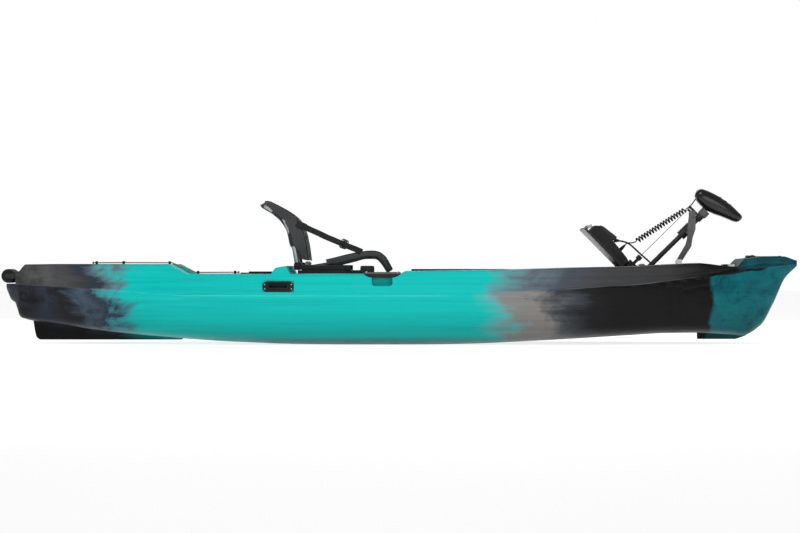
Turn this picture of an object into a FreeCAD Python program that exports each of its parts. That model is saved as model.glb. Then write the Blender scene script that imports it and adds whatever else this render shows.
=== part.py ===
import FreeCAD, Part
import math
import os
import Sketcher
from FreeCAD import Placement, Rotation, Vector

# A sit-on-top fishing kayak with a framed mesh seat and a tilting electric trolling motor.
# Millimetres. +X is the bow, +Y the port side, +Z up. The origin is under the middle of the
# hull, on the ground that the hull rests on. The motor unit is in its stowed position.

doc = FreeCAD.newDocument("FishingKayak")
sheet = doc.addObject("Spreadsheet::Sheet", "Dims")

# ---------------------------------------------------------------- driving dimensions

DIMENSIONS = """
wall          5      moulded wall of the hull
tank_aft      -1640  tank well, aft end
tank_fore     -612   tank well, forward end
tank_half     215    tank well, half width
tank_floor    190    tank well floor height
cockpit_aft   -556   cockpit well, aft end
cockpit_fore  700    cockpit well, forward end
cockpit_half  262    cockpit well, half width
cockpit_floor 110    cockpit floor height
bench_fore    1395   raised bench that carries the motor, forward end
bench_half    205    raised bench, half width
bench_floor   250    raised bench, floor height
drive_half    180    half width of the slot that the motor swings through
scupper_rad   17.5   scupper bore radius
hatch_aft     1806   bow hatch opening, aft end
hatch_fore    1950   bow hatch opening, forward end
hatch_half    56     bow hatch opening, half width
hatch_floor   330    bottom of the bow hatch tub
hinge_x       1251   motor tilt axis, distance forward
hinge_z       264    motor tilt axis, height
stow_angle    45.5   tilt of the stowed motor from upright
shaft_back    65     motor shaft axis, distance aft of the tilt axis
shaft_rad     12.7   motor shaft radius
pod_drop      230    motor pod axis below the tilt axis
pod_rad       40     motor pod radius
prop_rad      104    propeller tip radius
prop_back     120    propeller plane, distance aft of the shaft axis
plate_len     460    motor plate length
plate_half    190    motor plate half width
plate_thick   12     motor plate thickness
pin_rad       6      tilt pin radius
running_fit   0.05   radial clearance of a pin in its bore
seat_half     250    seat frame tube axis, half width
tube_rad      12     seat frame tube radius
rail_aft      -520   seat rail, aft end
rail_fore     -205   seat rail, forward end
rail_mid      276    seat rail, distance from the middle
ledge_z       361    height of the gunwale beside the seat
recline_x     -524   seat back pivot, distance forward
recline_z     405    seat back pivot, height
battery_len   166    battery length
battery_wide  197    battery width
battery_high  158    battery height
battery_x     -720   middle of the battery
grip_rad      36     stern grip radius
arm_x         1440   support arm pivot, distance forward
arm_z         424    support arm pivot, height
arm_y         -63    middle of the support arm, distance to port
coil_rad      14     outer radius of the curly cord
power_rad     4.5    power cable radius
cord_rad      1.5    pull cord radius
bungee_rad    3      bungee radius
"""

for line_number, line in enumerate(DIMENSIONS.strip().splitlines(), 1):
    alias, amount, note = line.split(None, 2)
    sheet.set("A%d" % line_number, note)
    sheet.set("B%d" % line_number, amount)
    sheet.setAlias("B%d" % line_number, alias)
doc.recompute()


def dim(alias):
    """One driving dimension, read from the sheet."""
    return float(sheet.get(alias))


# The hull's lines, one row a station: distance forward, keel height, sponson height,
# half beam, height of the widest point, sheer height.
HULL_LINES = [
    (-2034, 284, 280, 60, 300, 371),
    (-2008, 232, 226, 96, 288, 371),
    (-1984, 214, 208, 122, 286, 371),
    (-1958, 150, 138, 150, 285, 373),
    (-1925, 138, 122, 172, 280, 408),
    (-1760, 120, 101, 236, 275, 410),
    (-1550, 92, 70, 306, 272, 410),
    (-1350, 70, 50, 362, 270, 410),
    (-1165, 55, 34, 402, 268, 410),
    (-1120, 52, 30, 411, 268, 385),
    (-1075, 50, 27, 419, 268, 360),
    (-900, 42, 17, 443, 268, 360),
    (-650, 32, 6, 463, 268, 360),
    (-626, 31, 5, 464, 268, 391),
    (-570, 29, 4, 467, 268, 400),
    (-552, 29, 3, 468, 268, 361),
    (-200, 26, 0, 470, 268, 361),
    (5, 26, 0, 470, 268, 361),
    (32, 26, 0, 470, 268, 374),
    (350, 30, 4, 464, 268, 379),
    (650, 42, 17, 449, 270, 384),
    (900, 55, 30, 425, 273, 392),
    (1150, 68, 45, 386, 278, 397),
    (1380, 78, 57, 334, 286, 408),
    (1530, 74, 58, 288, 294, 415),
    (1682, 59, 51, 230, 304, 398),
    (1724, 53, 48, 212, 308, 398),
    (1760, 48, 44, 196, 312, 436),
    (1860, 98, 95, 148, 330, 449),
    (1930, 212, 210, 108, 352, 451),
    (1990, 335, 334, 72, 392, 449),
    (2057, 400, 399, 20, 412, 428),
]

lines_sheet = doc.addObject("Spreadsheet::Sheet", "HullLines")
for row_number, station in enumerate(HULL_LINES, 1):
    for letter, amount in zip("ABCDEF", station):
        lines_sheet.set("%s%d" % (letter, row_number), str(amount))
doc.recompute()

NODES = {}


def sub_part(label, thing):
    """Registers a finished object as one sub-part, which is written under this label."""
    thing.Label = label
    NODES[label] = thing
    return thing


# ---------------------------------------------------------------- small builders


def bind(thing, **sizes):
    """Sets sizes: a text is an expression on the sheet, a number is set as it is."""
    for name, size in sizes.items():
        if isinstance(size, str):
            thing.setExpression(name, size)
        else:
            setattr(thing, name, size)
    return thing


def put(thing, at, axis=(0, 0, 1), frame=Placement()):
    """Places an object so that its own Z points along an axis."""
    turn = Rotation(Vector(0, 0, 1), Vector(*axis))
    thing.Placement = frame * Placement(Vector(*at), turn)
    return thing


def cylinder(name, radius, length, at, axis=(0, 0, 1), frame=Placement()):
    thing = doc.addObject("Part::Cylinder", name)
    bind(thing, Radius=radius, Height=length)
    return put(thing, at, axis, frame)


def block(name, size, corner, frame=Placement()):
    thing = doc.addObject("Part::Box", name)
    bind(thing, Length=size[0], Width=size[1], Height=size[2])
    return put(thing, corner, frame=frame)


def cut(name, base, tool):
    thing = doc.addObject("Part::Cut", name)
    thing.Base = base
    thing.Tool = tool
    return thing


def fuse(name, pieces):
    thing = doc.addObject("Part::MultiFuse", name)
    thing.Shapes = pieces
    return thing


def group(name, pieces):
    """Separate solids that share one node."""
    thing = doc.addObject("Part::Compound", name)
    thing.Links = pieces
    return thing


def rounded(name, base, radius, wanted):
    """Rounds the edges that the function wanted picks."""
    doc.recompute()
    edges = [
        (number, radius, radius)
        for number, edge in enumerate(base.Shape.Edges, 1)
        if wanted(edge)
    ]
    thing = doc.addObject("Part::Fillet", name)
    thing.Base = base
    thing.Edges = edges
    return thing


def along(direction):
    """Picks the straight edges that run along a direction."""
    way = Vector(*direction).normalize()

    def wanted(edge):
        span = edge.Vertexes[-1].Point - edge.Vertexes[0].Point
        return span.Length > 1e-6 and abs(span.normalize().dot(way)) > 0.999

    return wanted


def every_edge(edge):
    return True


def solid(name, shape, frame=Placement()):
    """A sub-part whose shape is worked out in code."""
    thing = doc.addObject("Part::Feature", name)
    thing.Shape = shape
    thing.Placement = frame
    return thing


def new_body(name, frame=Placement()):
    body = doc.addObject("PartDesign::Body", name)
    body.Placement = frame
    return body


def new_sketch(body, role, name, lift=0):
    """An empty sketch on one of its body's origin planes."""
    sketch = body.newObject("Sketcher::SketchObject", name)
    plane = next(f for f in body.Origin.OriginFeatures if f.Role == role)
    sketch.AttachmentSupport = [(plane, "")]
    sketch.MapMode = "FlatFace"
    sketch.AttachmentOffset = Placement(Vector(0, 0, lift), Rotation())
    return sketch


def draw_outline(sketch, points, radius=0):
    """A closed outline of straight lines, its corners rounded where a radius is given."""
    corners = [Vector(x, y, 0) for x, y in points]
    ends = []
    for number, corner in enumerate(corners):
        before = (corners[number - 1] - corner).normalize()
        after = (corners[(number + 1) % len(corners)] - corner).normalize()
        half = math.acos(max(-1, min(1, before.dot(after)))) / 2
        back = radius / math.tan(half) if radius else 0
        ends.append((corner + before * back, corner + after * back))
        if radius:
            inward = (before + after).normalize() * (radius / math.sin(half) - radius)
            arc = Part.Arc(ends[-1][0], corner + inward, ends[-1][1])
            sketch.addGeometry(arc, False)
    for number in range(len(corners)):
        start = ends[number][1]
        stop = ends[(number + 1) % len(corners)][0]
        sketch.addGeometry(Part.LineSegment(start, stop), False)


def draw_circle(sketch, radius, at=(0, 0)):
    """A circle whose radius is bound to the sheet when it is given as text."""
    amount = radius if not isinstance(radius, str) else 1
    circle = Part.Circle(Vector(at[0], at[1], 0), Vector(0, 0, 1), amount)
    number = sketch.addGeometry(circle, False)
    rule = sketch.addConstraint(Sketcher.Constraint("Radius", number, amount))
    if isinstance(radius, str):
        sketch.setExpression("Constraints[%d]" % rule, radius)


def pad(body, sketch, length, both_ways=False):
    feature = body.newObject("PartDesign::Pad", sketch.Name + "Pad")
    feature.Profile = sketch
    bind(feature, Length=length)
    feature.Midplane = both_ways
    return feature


def pocket(body, sketch, length, both_ways=True):
    feature = body.newObject("PartDesign::Pocket", sketch.Name + "Pocket")
    feature.Profile = sketch
    bind(feature, Length=length)
    feature.Midplane = both_ways
    return feature


def turned(name, outline, at, axis, frame=Placement()):
    """A body of revolution: the outline holds (radius, height) pairs about its own Z."""
    place = frame * Placement(Vector(*at), Rotation(Vector(0, 0, 1), Vector(*axis)))
    body = new_body(name, place)
    sketch = new_sketch(body, "XZ_Plane", name + "Sketch")
    draw_outline(sketch, outline)
    feature = body.newObject("PartDesign::Revolution", name + "Turn")
    feature.Profile = sketch
    feature.ReferenceAxis = (sketch, ["V_Axis"])
    feature.Angle = 360
    return body


def arcs_through(points, share=0.45):
    """A path of straight runs and tangent arcs, with the smallest arc radius."""
    edges = []
    radii = []
    start = points[0]
    for number in range(1, len(points) - 1):
        corner = points[number]
        back = points[number - 1] - corner
        ahead = points[number + 1] - corner
        reach = share * min(back.Length, ahead.Length)
        back.normalize()
        ahead.normalize()
        half_turn = (math.pi - math.acos(max(-1, min(1, back.dot(ahead))))) / 2
        radius = reach / math.tan(half_turn)
        middle = (back + ahead).normalize() * (radius / math.cos(half_turn) - radius)
        arc = Part.Arc(corner + back * reach, corner + middle, corner + ahead * reach)
        edges.append(Part.LineSegment(start, corner + back * reach).toShape())
        edges.append(arc.toShape())
        radii.append(radius)
        start = corner + ahead * reach
    edges.append(Part.LineSegment(start, points[-1]).toShape())
    return Part.Wire(edges), radii


def tube_along(name, points, radius, share=0.45):
    """A round tube along a route, with its volume compared with section times length."""
    route = [Vector(*p) for p in points]
    path, radii = arcs_through(route, share)
    across = route[1] - route[0]
    ring = Part.Wire(Part.makeCircle(radius, route[0], across))
    shape = path.makePipeShell([ring], True, False)
    expected = math.pi * radius**2 * path.Length
    print(name, "length %.0f" % path.Length, "least radius %.1f" % min(radii))
    if abs(shape.Volume / expected - 1) > 0.01:
        raise ValueError(name + " has the wrong volume")
    return shape


# ---------------------------------------------------------------- hull


def hull_row(x):
    """The hull's lines at one distance forward, between the two nearest stations."""
    for aft, fore in zip(HULL_LINES, HULL_LINES[1:]):
        if aft[0] <= x <= fore[0]:
            share = (x - aft[0]) / (fore[0] - aft[0])
            return [a + (b - a) * share for a, b in zip(aft, fore)]
    raise ValueError("outside the hull")


def smooth(points, start, finish):
    """A smooth curve through points, with its directions at both ends."""
    curve = Part.BSplineCurve()
    curve.interpolate(Points=points, InitialTangent=Vector(*start), FinalTangent=Vector(*finish))
    return curve.toShape()


def hull_section(x, inset):
    """One closed cross-section, moved inwards by a wall thickness."""
    keel, sponson, beam, widest, sheer = hull_row(x)[1:]
    top = sheer - inset
    beam -= inset
    keel += inset
    sponson += inset
    bottom = [
        (0, keel),
        (0.30 * beam, keel - 0.25 * (keel - sponson)),
        (0.55 * beam, sponson),
        (0.86 * beam, sponson + 0.20 * (widest - sponson)),
        (beam, widest),
    ]
    rise = top - widest
    side = [(beam, widest), (0.98 * beam, widest + 0.5 * rise), (0.985 * beam, widest + 0.92 * rise)]
    shoulder = 0.985 * beam - min(12, 0.5 * beam)

    def port(yz):
        return Vector(x, yz[0], yz[1])

    def starboard(yz):
        return Vector(x, -yz[0], yz[1])

    middle = Vector(x, 0, top)
    level = (0, 1, 0)
    upright = (0, 0, 1)
    downwards = (0, 0, -1)
    edges = [
        smooth([port(p) for p in bottom], level, upright),
        smooth([port(p) for p in side], upright, upright),
        Part.LineSegment(port(side[-1]), port((shoulder, top))).toShape(),
        Part.LineSegment(port((shoulder, top)), middle).toShape(),
        Part.LineSegment(middle, starboard((shoulder, top))).toShape(),
        Part.LineSegment(starboard((shoulder, top)), starboard(side[-1])).toShape(),
        smooth([starboard(p) for p in side[::-1]], downwards, downwards),
        smooth([starboard(p) for p in bottom[::-1]], downwards, level),
    ]
    return Part.Wire(edges)


def soft_box(low, high, corner, floor_round):
    """A well: a box with rounded upright corners and a rounded floor edge."""
    shape = Part.makeBox(high[0] - low[0], high[1] - low[1], high[2] - low[2], Vector(*low))
    upright = [e for e in shape.Edges if along((0, 0, 1))(e)]
    shape = shape.makeFillet(corner, upright)
    floor = [e for e in shape.Edges if all(abs(v.Z - low[2]) < 1e-6 for v in e.Vertexes)]
    return shape.makeFillet(floor_round, floor)


ABOVE = 620  # the height that every well is open to

SCUPPERS = [(-1300, 150), (-1300, -150), (-100, 180), (-100, -180)]

# Places of the fittings that the hull is shaped for.
HANDLE_X = -612
HANDLE_Z = 296
HANDLE_FACE = 455
BAR_X = -90
TRACK_AFT = 60
TRACK_LENGTH = 500
TRACK_Y = 335
TRACK_SEAT_Z = 372
STERN_FACE_X = -1978
STERN_SHELF_Z = 308
DRAIN_X = -1931
DRAIN_Z = 249
DRAIN_FACE = 158
HATCH_SEAT_Z = 440
ARM_SEAT_Z = 406
BOW_STRAP_X = 1703
BOW_STRAP_SEAT_Z = 395


def wells(extra):
    """Everything that the deck, the sides and the bottom leave open, grown by extra."""

    def well(aft, fore, half, floor, corner, floor_round):
        low = (aft - extra, -half - extra, floor - extra)
        high = (fore + extra, half + extra, ABOVE)
        return soft_box(low, high, corner + extra, floor_round + extra)

    cockpit_fore = dim("cockpit_fore")
    cutters = [
        well(dim("tank_aft"), dim("tank_fore"), dim("tank_half"), dim("tank_floor"), 70, 12),
        well(dim("cockpit_aft"), cockpit_fore, dim("cockpit_half"), dim("cockpit_floor"), 60, 35),
        well(cockpit_fore - 60, dim("bench_fore"), dim("bench_half"), dim("bench_floor"), 60, 20),
        well(dim("hatch_aft"), dim("hatch_fore"), dim("hatch_half"), dim("hatch_floor"), 40, 12),
    ]
    # The motor slot: its aft wall slopes along the stowed shaft, its fore wall clears the pod.
    bench = dim("bench_floor")
    below = -75
    slot = [
        (560 - 1.5 * extra, below),
        (890 - 1.5 * extra, bench),
        (890 - 1.5 * extra, bench + 12),
        (1232 + extra, bench + 12),
        (1232 + extra, 215 - 0.4 * extra),
        (1312 + extra, 135 - 0.4 * extra),
        (1312 + extra, below),
    ]
    half = dim("drive_half") + extra
    outline = Part.makePolygon([Vector(x, -half, z) for x, z in slot + slot[:1]])
    cutters.append(Part.Face(outline).extrude(Vector(0, 2 * half, 0)))
    for x, y in SCUPPERS:
        cutters.append(Part.makeCylinder(dim("scupper_rad") + extra, 700, Vector(x, y, -100)))
    for side in (-1, 1):
        # The carry handle's flat seat in the side and the finger space behind it.
        for length, height, depth in ((160, 56, 0), (116, 34, 30)):
            face = HANDLE_FACE - depth - extra
            low_y = min(side * face, side * 600)
            size = (length + 2 * extra, 600 - face, height + 2 * extra)
            corner = Vector(HANDLE_X - size[0] / 2, low_y, HANDLE_Z - size[2] / 2)
            cutters.append(Part.makeBox(*size, corner))
        # The finger scoop under the gunwale bar.
        face = 424 - extra
        low_y = min(side * face, side * 600)
        corner = Vector(BAR_X - 50 - extra, low_y, 300 - extra)
        cutters.append(Part.makeBox(100 + 2 * extra, 600 - face, 400, corner))
        # The flat seat of the gear track on the gunwale.
        size = (TRACK_LENGTH + 2 * extra, 34 + 2 * extra, 200)
        corner = Vector(TRACK_AFT - extra, side * TRACK_Y - size[1] / 2, TRACK_SEAT_Z - extra)
        cutters.append(Part.makeBox(*size, corner))
        # The flat seat of the bow strap's anchor.
        size = (42 + 2 * extra, 36 + 2 * extra, 200)
        corner = Vector(BOW_STRAP_X - size[0] / 2, side * 134 - size[1] / 2, BOW_STRAP_SEAT_Z - extra)
        cutters.append(Part.makeBox(*size, corner))
    # The open end under the stern grip, and the flat face of the drain plug.
    corner = Vector(-2200, -300, STERN_SHELF_Z - extra)
    cutters.append(Part.makeBox(2200 + STERN_FACE_X + extra, 600, 300, corner))
    start = Vector(DRAIN_X, -(DRAIN_FACE - extra), DRAIN_Z)
    cutters.append(Part.makeCylinder(17 + extra, 100, start, Vector(0, -1, 0)))
    # The flat seats of the hatch lid and of the support arm.
    corner = Vector(1790 - extra, -70 - extra, HATCH_SEAT_Z - extra)
    cutters.append(Part.makeBox(188 + 2 * extra, 140 + 2 * extra, 100, corner))
    corner = Vector(1412 - extra, -92 - extra, ARM_SEAT_Z - extra)
    cutters.append(Part.makeBox(60 + 2 * extra, 70 + 2 * extra, 100, corner))
    return cutters


def hull_shape():
    """A hollow shell: the outer skin less its wells, less the same moved in by the wall."""
    wall = dim("wall")
    stations = [row[0] for row in HULL_LINES]
    outer = Part.makeLoft([hull_section(x, 0) for x in stations], True, True)
    inside = [stations[0] + 14] + stations[1:-1] + [stations[-1] - 20]
    inner = Part.makeLoft([hull_section(x, wall) for x in inside], True, True)
    # The stern fin that the boat tracks on, and the deep forefoot.
    fin = [(-1905, 132), (-1893, 60), (-1885, 28), (-1868, 18), (-1130, 18), (-1080, 60)]
    fin_face = Part.Face(Part.makePolygon([Vector(x, -14, z) for x, z in fin + fin[:1]]))
    forefoot = [(1541, 80), (1541, 21), (1740, 21), (1790, 38), (1830, 66), (1830, 110)]
    foot_face = Part.Face(Part.makePolygon([Vector(x, -17, z) for x, z in forefoot + forefoot[:1]]))
    keels = [fin_face.extrude(Vector(0, 28, 0)), foot_face.extrude(Vector(0, 34, 0))]
    shell = outer.fuse(keels).cut(wells(0)).cut(inner.cut(wells(wall)))
    drain = Part.makeCylinder(8, 40, Vector(DRAIN_X, -130, DRAIN_Z), Vector(0, -1, 0))
    return shell.cut(drain).Solids[0]


sub_part("hull", solid("HullShell", hull_shape()))


# ---------------------------------------------------------------- hull fittings

SIDES = ((-1, "right"), (1, "left"))
PORT = (0, 1, 0)
STARBOARD = (0, -1, 0)


def drain_plug():
    """A threaded plug with a moulded wing, seated on its flat."""
    outline = [(0, -12), (7.7, -12), (7.7, 0), (15, 0), (15, 4), (9, 5), (9, 11), (0, 11)]
    return turned("DrainPlug", outline, (DRAIN_X, -DRAIN_FACE, DRAIN_Z), STARBOARD)


def stern_handle():
    """A bolted bracket with two ears and a round grip on a through bolt."""
    grip_x = -2021
    grip_z = 348
    body = new_body("SternBracketBody")
    base = new_sketch(body, "XY_Plane", "SternBase", 314)
    draw_outline(base, [(-1983, -100), (STERN_FACE_X, -100), (STERN_FACE_X, 100), (-1983, 100)])
    pad(body, base, 54)
    pieces = [body]
    for side in (-1, 1):
        ear = block("SternEar", (54, 8, 26), (-2037, side * 92 - 4, grip_z - 13))
        pieces.append(rounded("SternEarRound", ear, 10, along(PORT)))
    bracket = fuse("SternBracket", pieces)
    hole = cylinder("SternHole", 5.05, 220, (grip_x, -110, grip_z), PORT)
    bracket = cut("SternBracketCut", bracket, hole)
    bolt = turned("SternBolt", [(0, -101), (9, -101), (9, -96), (5, -96), (5, 103), (0, 103)],
                  (grip_x, 0, grip_z), PORT)
    sub_part("stern_handle_bracket", group("SternBracketSet", [bracket, bolt]))
    length = 172
    tube = cylinder("SternGripTube", "Dims.grip_rad", length, (grip_x, -length / 2, grip_z), PORT)
    soft = rounded("SternGripRound", tube, 6, every_edge)
    bore = cylinder("SternGripBore", 5.05, length + 20, (grip_x, -length / 2 - 10, grip_z), PORT)
    sub_part("stern_grip", cut("SternGrip", soft, bore))


def bow_strap():
    """A flat webbing strap across the bow deck, clamped at both ends."""
    half = 116
    seat = BOW_STRAP_SEAT_Z
    outline = [(-half, seat + 8), (-96, seat + 14), (96, seat + 14), (half, seat + 8)]
    outline += [(half, seat + 5), (96, seat + 11), (-96, seat + 11), (-half, seat + 5)]
    body = new_body("BowStrapBody")
    sketch = new_sketch(body, "YZ_Plane", "BowStrapSide", BOW_STRAP_X - 16)
    draw_outline(sketch, outline)
    pad(body, sketch, 32)
    sub_part("bow_strap", body)
    anchors = []
    for side in (-1, 1):
        corner = (BOW_STRAP_X - 20.5, side * 134 - 17.5, seat)
        anchor = block("BowAnchorBlock", (41, 35, 13), corner)
        anchors.append(rounded("BowAnchor", anchor, 5, along((0, 0, 1))))
    return anchors


def side_handles():
    """An oval plate on each side with a swinging grip in its opening."""
    plates = []
    screws = []
    for side, word in SIDES:
        face = side * HANDLE_FACE
        body = new_body("HandlePlate" + word)
        ring = new_sketch(body, "XZ_Plane", "HandleRing" + word, -face - (7 if side > 0 else 0))
        oval = [(-79, -27), (79, -27), (79, 27), (-79, 27)]
        draw_outline(ring, [(HANDLE_X + x, HANDLE_Z + z) for x, z in oval], 26.5)
        pad(body, ring, 7)
        opening = new_sketch(body, "XZ_Plane", "HandleOpening" + word, -face)
        oval = [(-56, -16), (56, -16), (56, 16), (-56, 16)]
        draw_outline(opening, [(HANDLE_X + x, HANDLE_Z + z) for x, z in oval], 9)
        pocket(body, opening, 40)
        axis_y = face + side * 3.5
        axis_z = HANDLE_Z + 9
        bores = cylinder("HandleBore" + word, 2.05, 124, (HANDLE_X - 62, axis_y, axis_z), (1, 0, 0))
        plates.append(cut("HandlePlateCut" + word, body, bores))
        pin = cylinder("HandlePin" + word, 2, 120, (HANDLE_X - 60, axis_y, axis_z), (1, 0, 0))
        bar = cylinder("HandleBar" + word, 5, 100, (HANDLE_X - 50, axis_y, HANDLE_Z - 10), (1, 0, 0))
        pieces = [pin, bar]
        for end in (-1, 1):
            corner = (HANDLE_X + end * 49 - 3.5, axis_y - 3.5, HANDLE_Z - 11.5)
            arm = block("HandleArm" + word, (7, 7, 24), corner)
            pieces.append(arm)
            for row in (-1, 1):
                at = (HANDLE_X + end * 67, face + side * 7, HANDLE_Z + row * 11)
                dome = [(0, 0), (4, 0), (3, 2.2), (0, 2.6)]
                screws.append(turned("HandleScrew" + word, dome, at, (0, side, 0)))
        sub_part("side_handle_grip_" + word, fuse("HandleGrip" + word, pieces))
    sub_part("side_handle_plates", group("HandlePlates", plates))
    return screws


def gunwale_bars():
    """A bridge over the finger scoop in each gunwale."""
    bars = []
    bolts = []
    for side, word in SIDES:
        ledge = dim("ledge_z")
        low_y = min(side * 416, side * 464)
        top = block("BarTop" + word, (187, 48, 7), (BAR_X - 93.5, low_y, ledge))
        low_y = min(side * 438, side * 462)
        grip = block("BarGrip" + word, (96, 24, 20), (BAR_X - 48, low_y, ledge - 20))
        grip = rounded("BarGripRound" + word, grip, 7, along((1, 0, 0)))
        bars.append(fuse("Bar" + word, [rounded("BarTopRound" + word, top, 8, along((0, 0, 1))), grip]))
        for end in (-1, 1):
            at = (BAR_X + end * 78, side * 436, ledge + 7)
            bolts.append(turned("BarBolt" + word, [(0, 0), (6, 0), (5, 3), (0, 3.6)], at, (0, 0, 1)))
    sub_part("gunwale_bars", group("Bars", bars))
    return bolts


def gear_tracks():
    """An extruded T-slot track let into each gunwale."""
    tracks = []
    screws = []
    for side, word in SIDES:
        body = new_body("Track" + word)
        profile = new_sketch(body, "YZ_Plane", "TrackProfile" + word, TRACK_AFT + 1)
        half = [(16, 0), (16, 12), (4.5, 12), (4.5, 9.5), (10, 9.5), (10, 3)]
        outline = half + [(-y, z) for y, z in half[::-1]]
        draw_outline(profile, [(side * TRACK_Y + y, TRACK_SEAT_Z + z) for y, z in outline])
        pad(body, profile, TRACK_LENGTH - 2)
        tracks.append(body)
        for number in range(4):
            at = (TRACK_AFT + 40 + number * 140, side * TRACK_Y, TRACK_SEAT_Z + 3)
            screws.append(turned("TrackScrew" + word, [(0, 0), (4.5, 0), (4, 2.5), (0, 3)], at, (0, 0, 1)))
    sub_part("gear_tracks", group("Tracks", tracks))
    return screws


# The bungee runs from eye to eye across the tank well: distance forward, side, deck height.
EYE_Y = 232
EYES = [(-1600, 1, 410), (-1410, -1, 410), (-1215, 1, 410), (-1030, -1, 360), (-870, 1, 360)]


def bungee():
    """Five pad eyes and one elastic cord laced between them, knotted at both ends."""
    eyes = []
    route = []
    for x, side, deck in EYES:
        y = side * EYE_Y
        base = block("EyeBlock", (11, 26, 15), (x - 5.5, y - 13, deck))
        base = rounded("EyeRound", base, 4, along((1, 0, 0)))
        eyes.append(cut("Eye", base, block("EyeWindow", (20, 9, 8), (x - 10, y - 4.5, deck + 3))))
        for step in (-12, 12):
            route.append((x + step, y, deck + 7))
    sub_part("pad_eyes", group("Eyes", eyes))
    cord = tube_along("bungee", route, dim("bungee_rad"))
    knots = [cord]
    for point, step in ((route[0], -6), (route[-1], 6)):
        knots.append(Part.makeSphere(6, Vector(point[0] + step, point[1], point[2])))
    sub_part("tank_bungee", solid("Bungee", knots[0].fuse(knots[1:])))


def battery():
    """A battery in a lidded box at the front of the tank well."""
    wall = 4
    gap = 6
    mid = dim("battery_x")
    floor = dim("tank_floor")
    long = dim("battery_len") + 2 * gap
    wide = dim("battery_wide") + 2 * gap
    high = dim("battery_high") + 2 * gap
    body = new_body("BatteryBoxBody")
    outer = new_sketch(body, "XY_Plane", "BoxOuter", floor)
    half_long = long / 2 + wall
    half_wide = wide / 2 + wall
    corners = [(-half_long, -half_wide), (half_long, -half_wide),
               (half_long, half_wide), (-half_long, half_wide)]
    draw_outline(outer, [(mid + x, y) for x, y in corners], 12)
    pad(body, outer, high)
    inner = new_sketch(body, "XY_Plane", "BoxInner", floor + wall + high)
    corners = [(-long / 2, -wide / 2), (long / 2, -wide / 2), (long / 2, wide / 2), (-long / 2, wide / 2)]
    draw_outline(inner, [(mid + x, y) for x, y in corners], 8)
    pocket(body, inner, 2 * high, True)
    top = floor + high
    hinge_x = mid - half_long - 6
    hinge_z = top + 1
    knuckles = [body]
    for side in (-1, 1):
        knuckles.append(block("BoxKnuckle", (10, 20, 14), (hinge_x - 4, side * 70 - 10, hinge_z - 9)))
    box = fuse("BatteryBox", knuckles)
    bore = cylinder("BoxBore", 3.05, 260, (hinge_x, -130, hinge_z), PORT)
    pin = cylinder("BoxPin", 3, 176, (hinge_x, -88, hinge_z), PORT)
    sub_part("battery_box", group("BatteryBoxSet", [cut("BatteryBoxCut", box, bore), pin]))
    corner = (mid - half_long + 4, -half_wide, top + 0.5)
    lid = block("LidPlate", (2 * half_long + 1, 2 * half_wide, 5), corner)
    lid = rounded("LidRound", lid, 10, along((0, 0, 1)))
    raised = block("LidRaised", (124, 120, 6), (mid - 62, -60, top + 5.5))
    raised = rounded("LidRaisedRound", raised, 5, along((0, 0, 1)))
    strap = block("LidLeaf", (16, 100, 5), (hinge_x - 1, -50, top + 0.5))
    barrel = cylinder("LidBarrel", 5, 100, (hinge_x, -50, hinge_z), PORT)
    lid = fuse("Lid", [lid, raised, strap, barrel])
    sub_part("battery_lid", cut("LidCut", lid, cylinder("LidBore", 3.05, 120, (hinge_x, -60, hinge_z), PORT)))
    size = ("Dims.battery_len", "Dims.battery_wide", "Dims.battery_high")
    corner = (mid - dim("battery_len") / 2, -dim("battery_wide") / 2, floor + wall + 0.3)
    case = rounded("BatteryRound", block("BatteryCase", size, corner), 4, along((0, 0, 1)))
    top_z = corner[2] + dim("battery_high")
    posts = [cylinder("BatteryPost", 6, 4, (mid - 55, y, top_z)) for y in (-70, 70)]
    sub_part("battery", fuse("Battery", [case] + posts))


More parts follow.
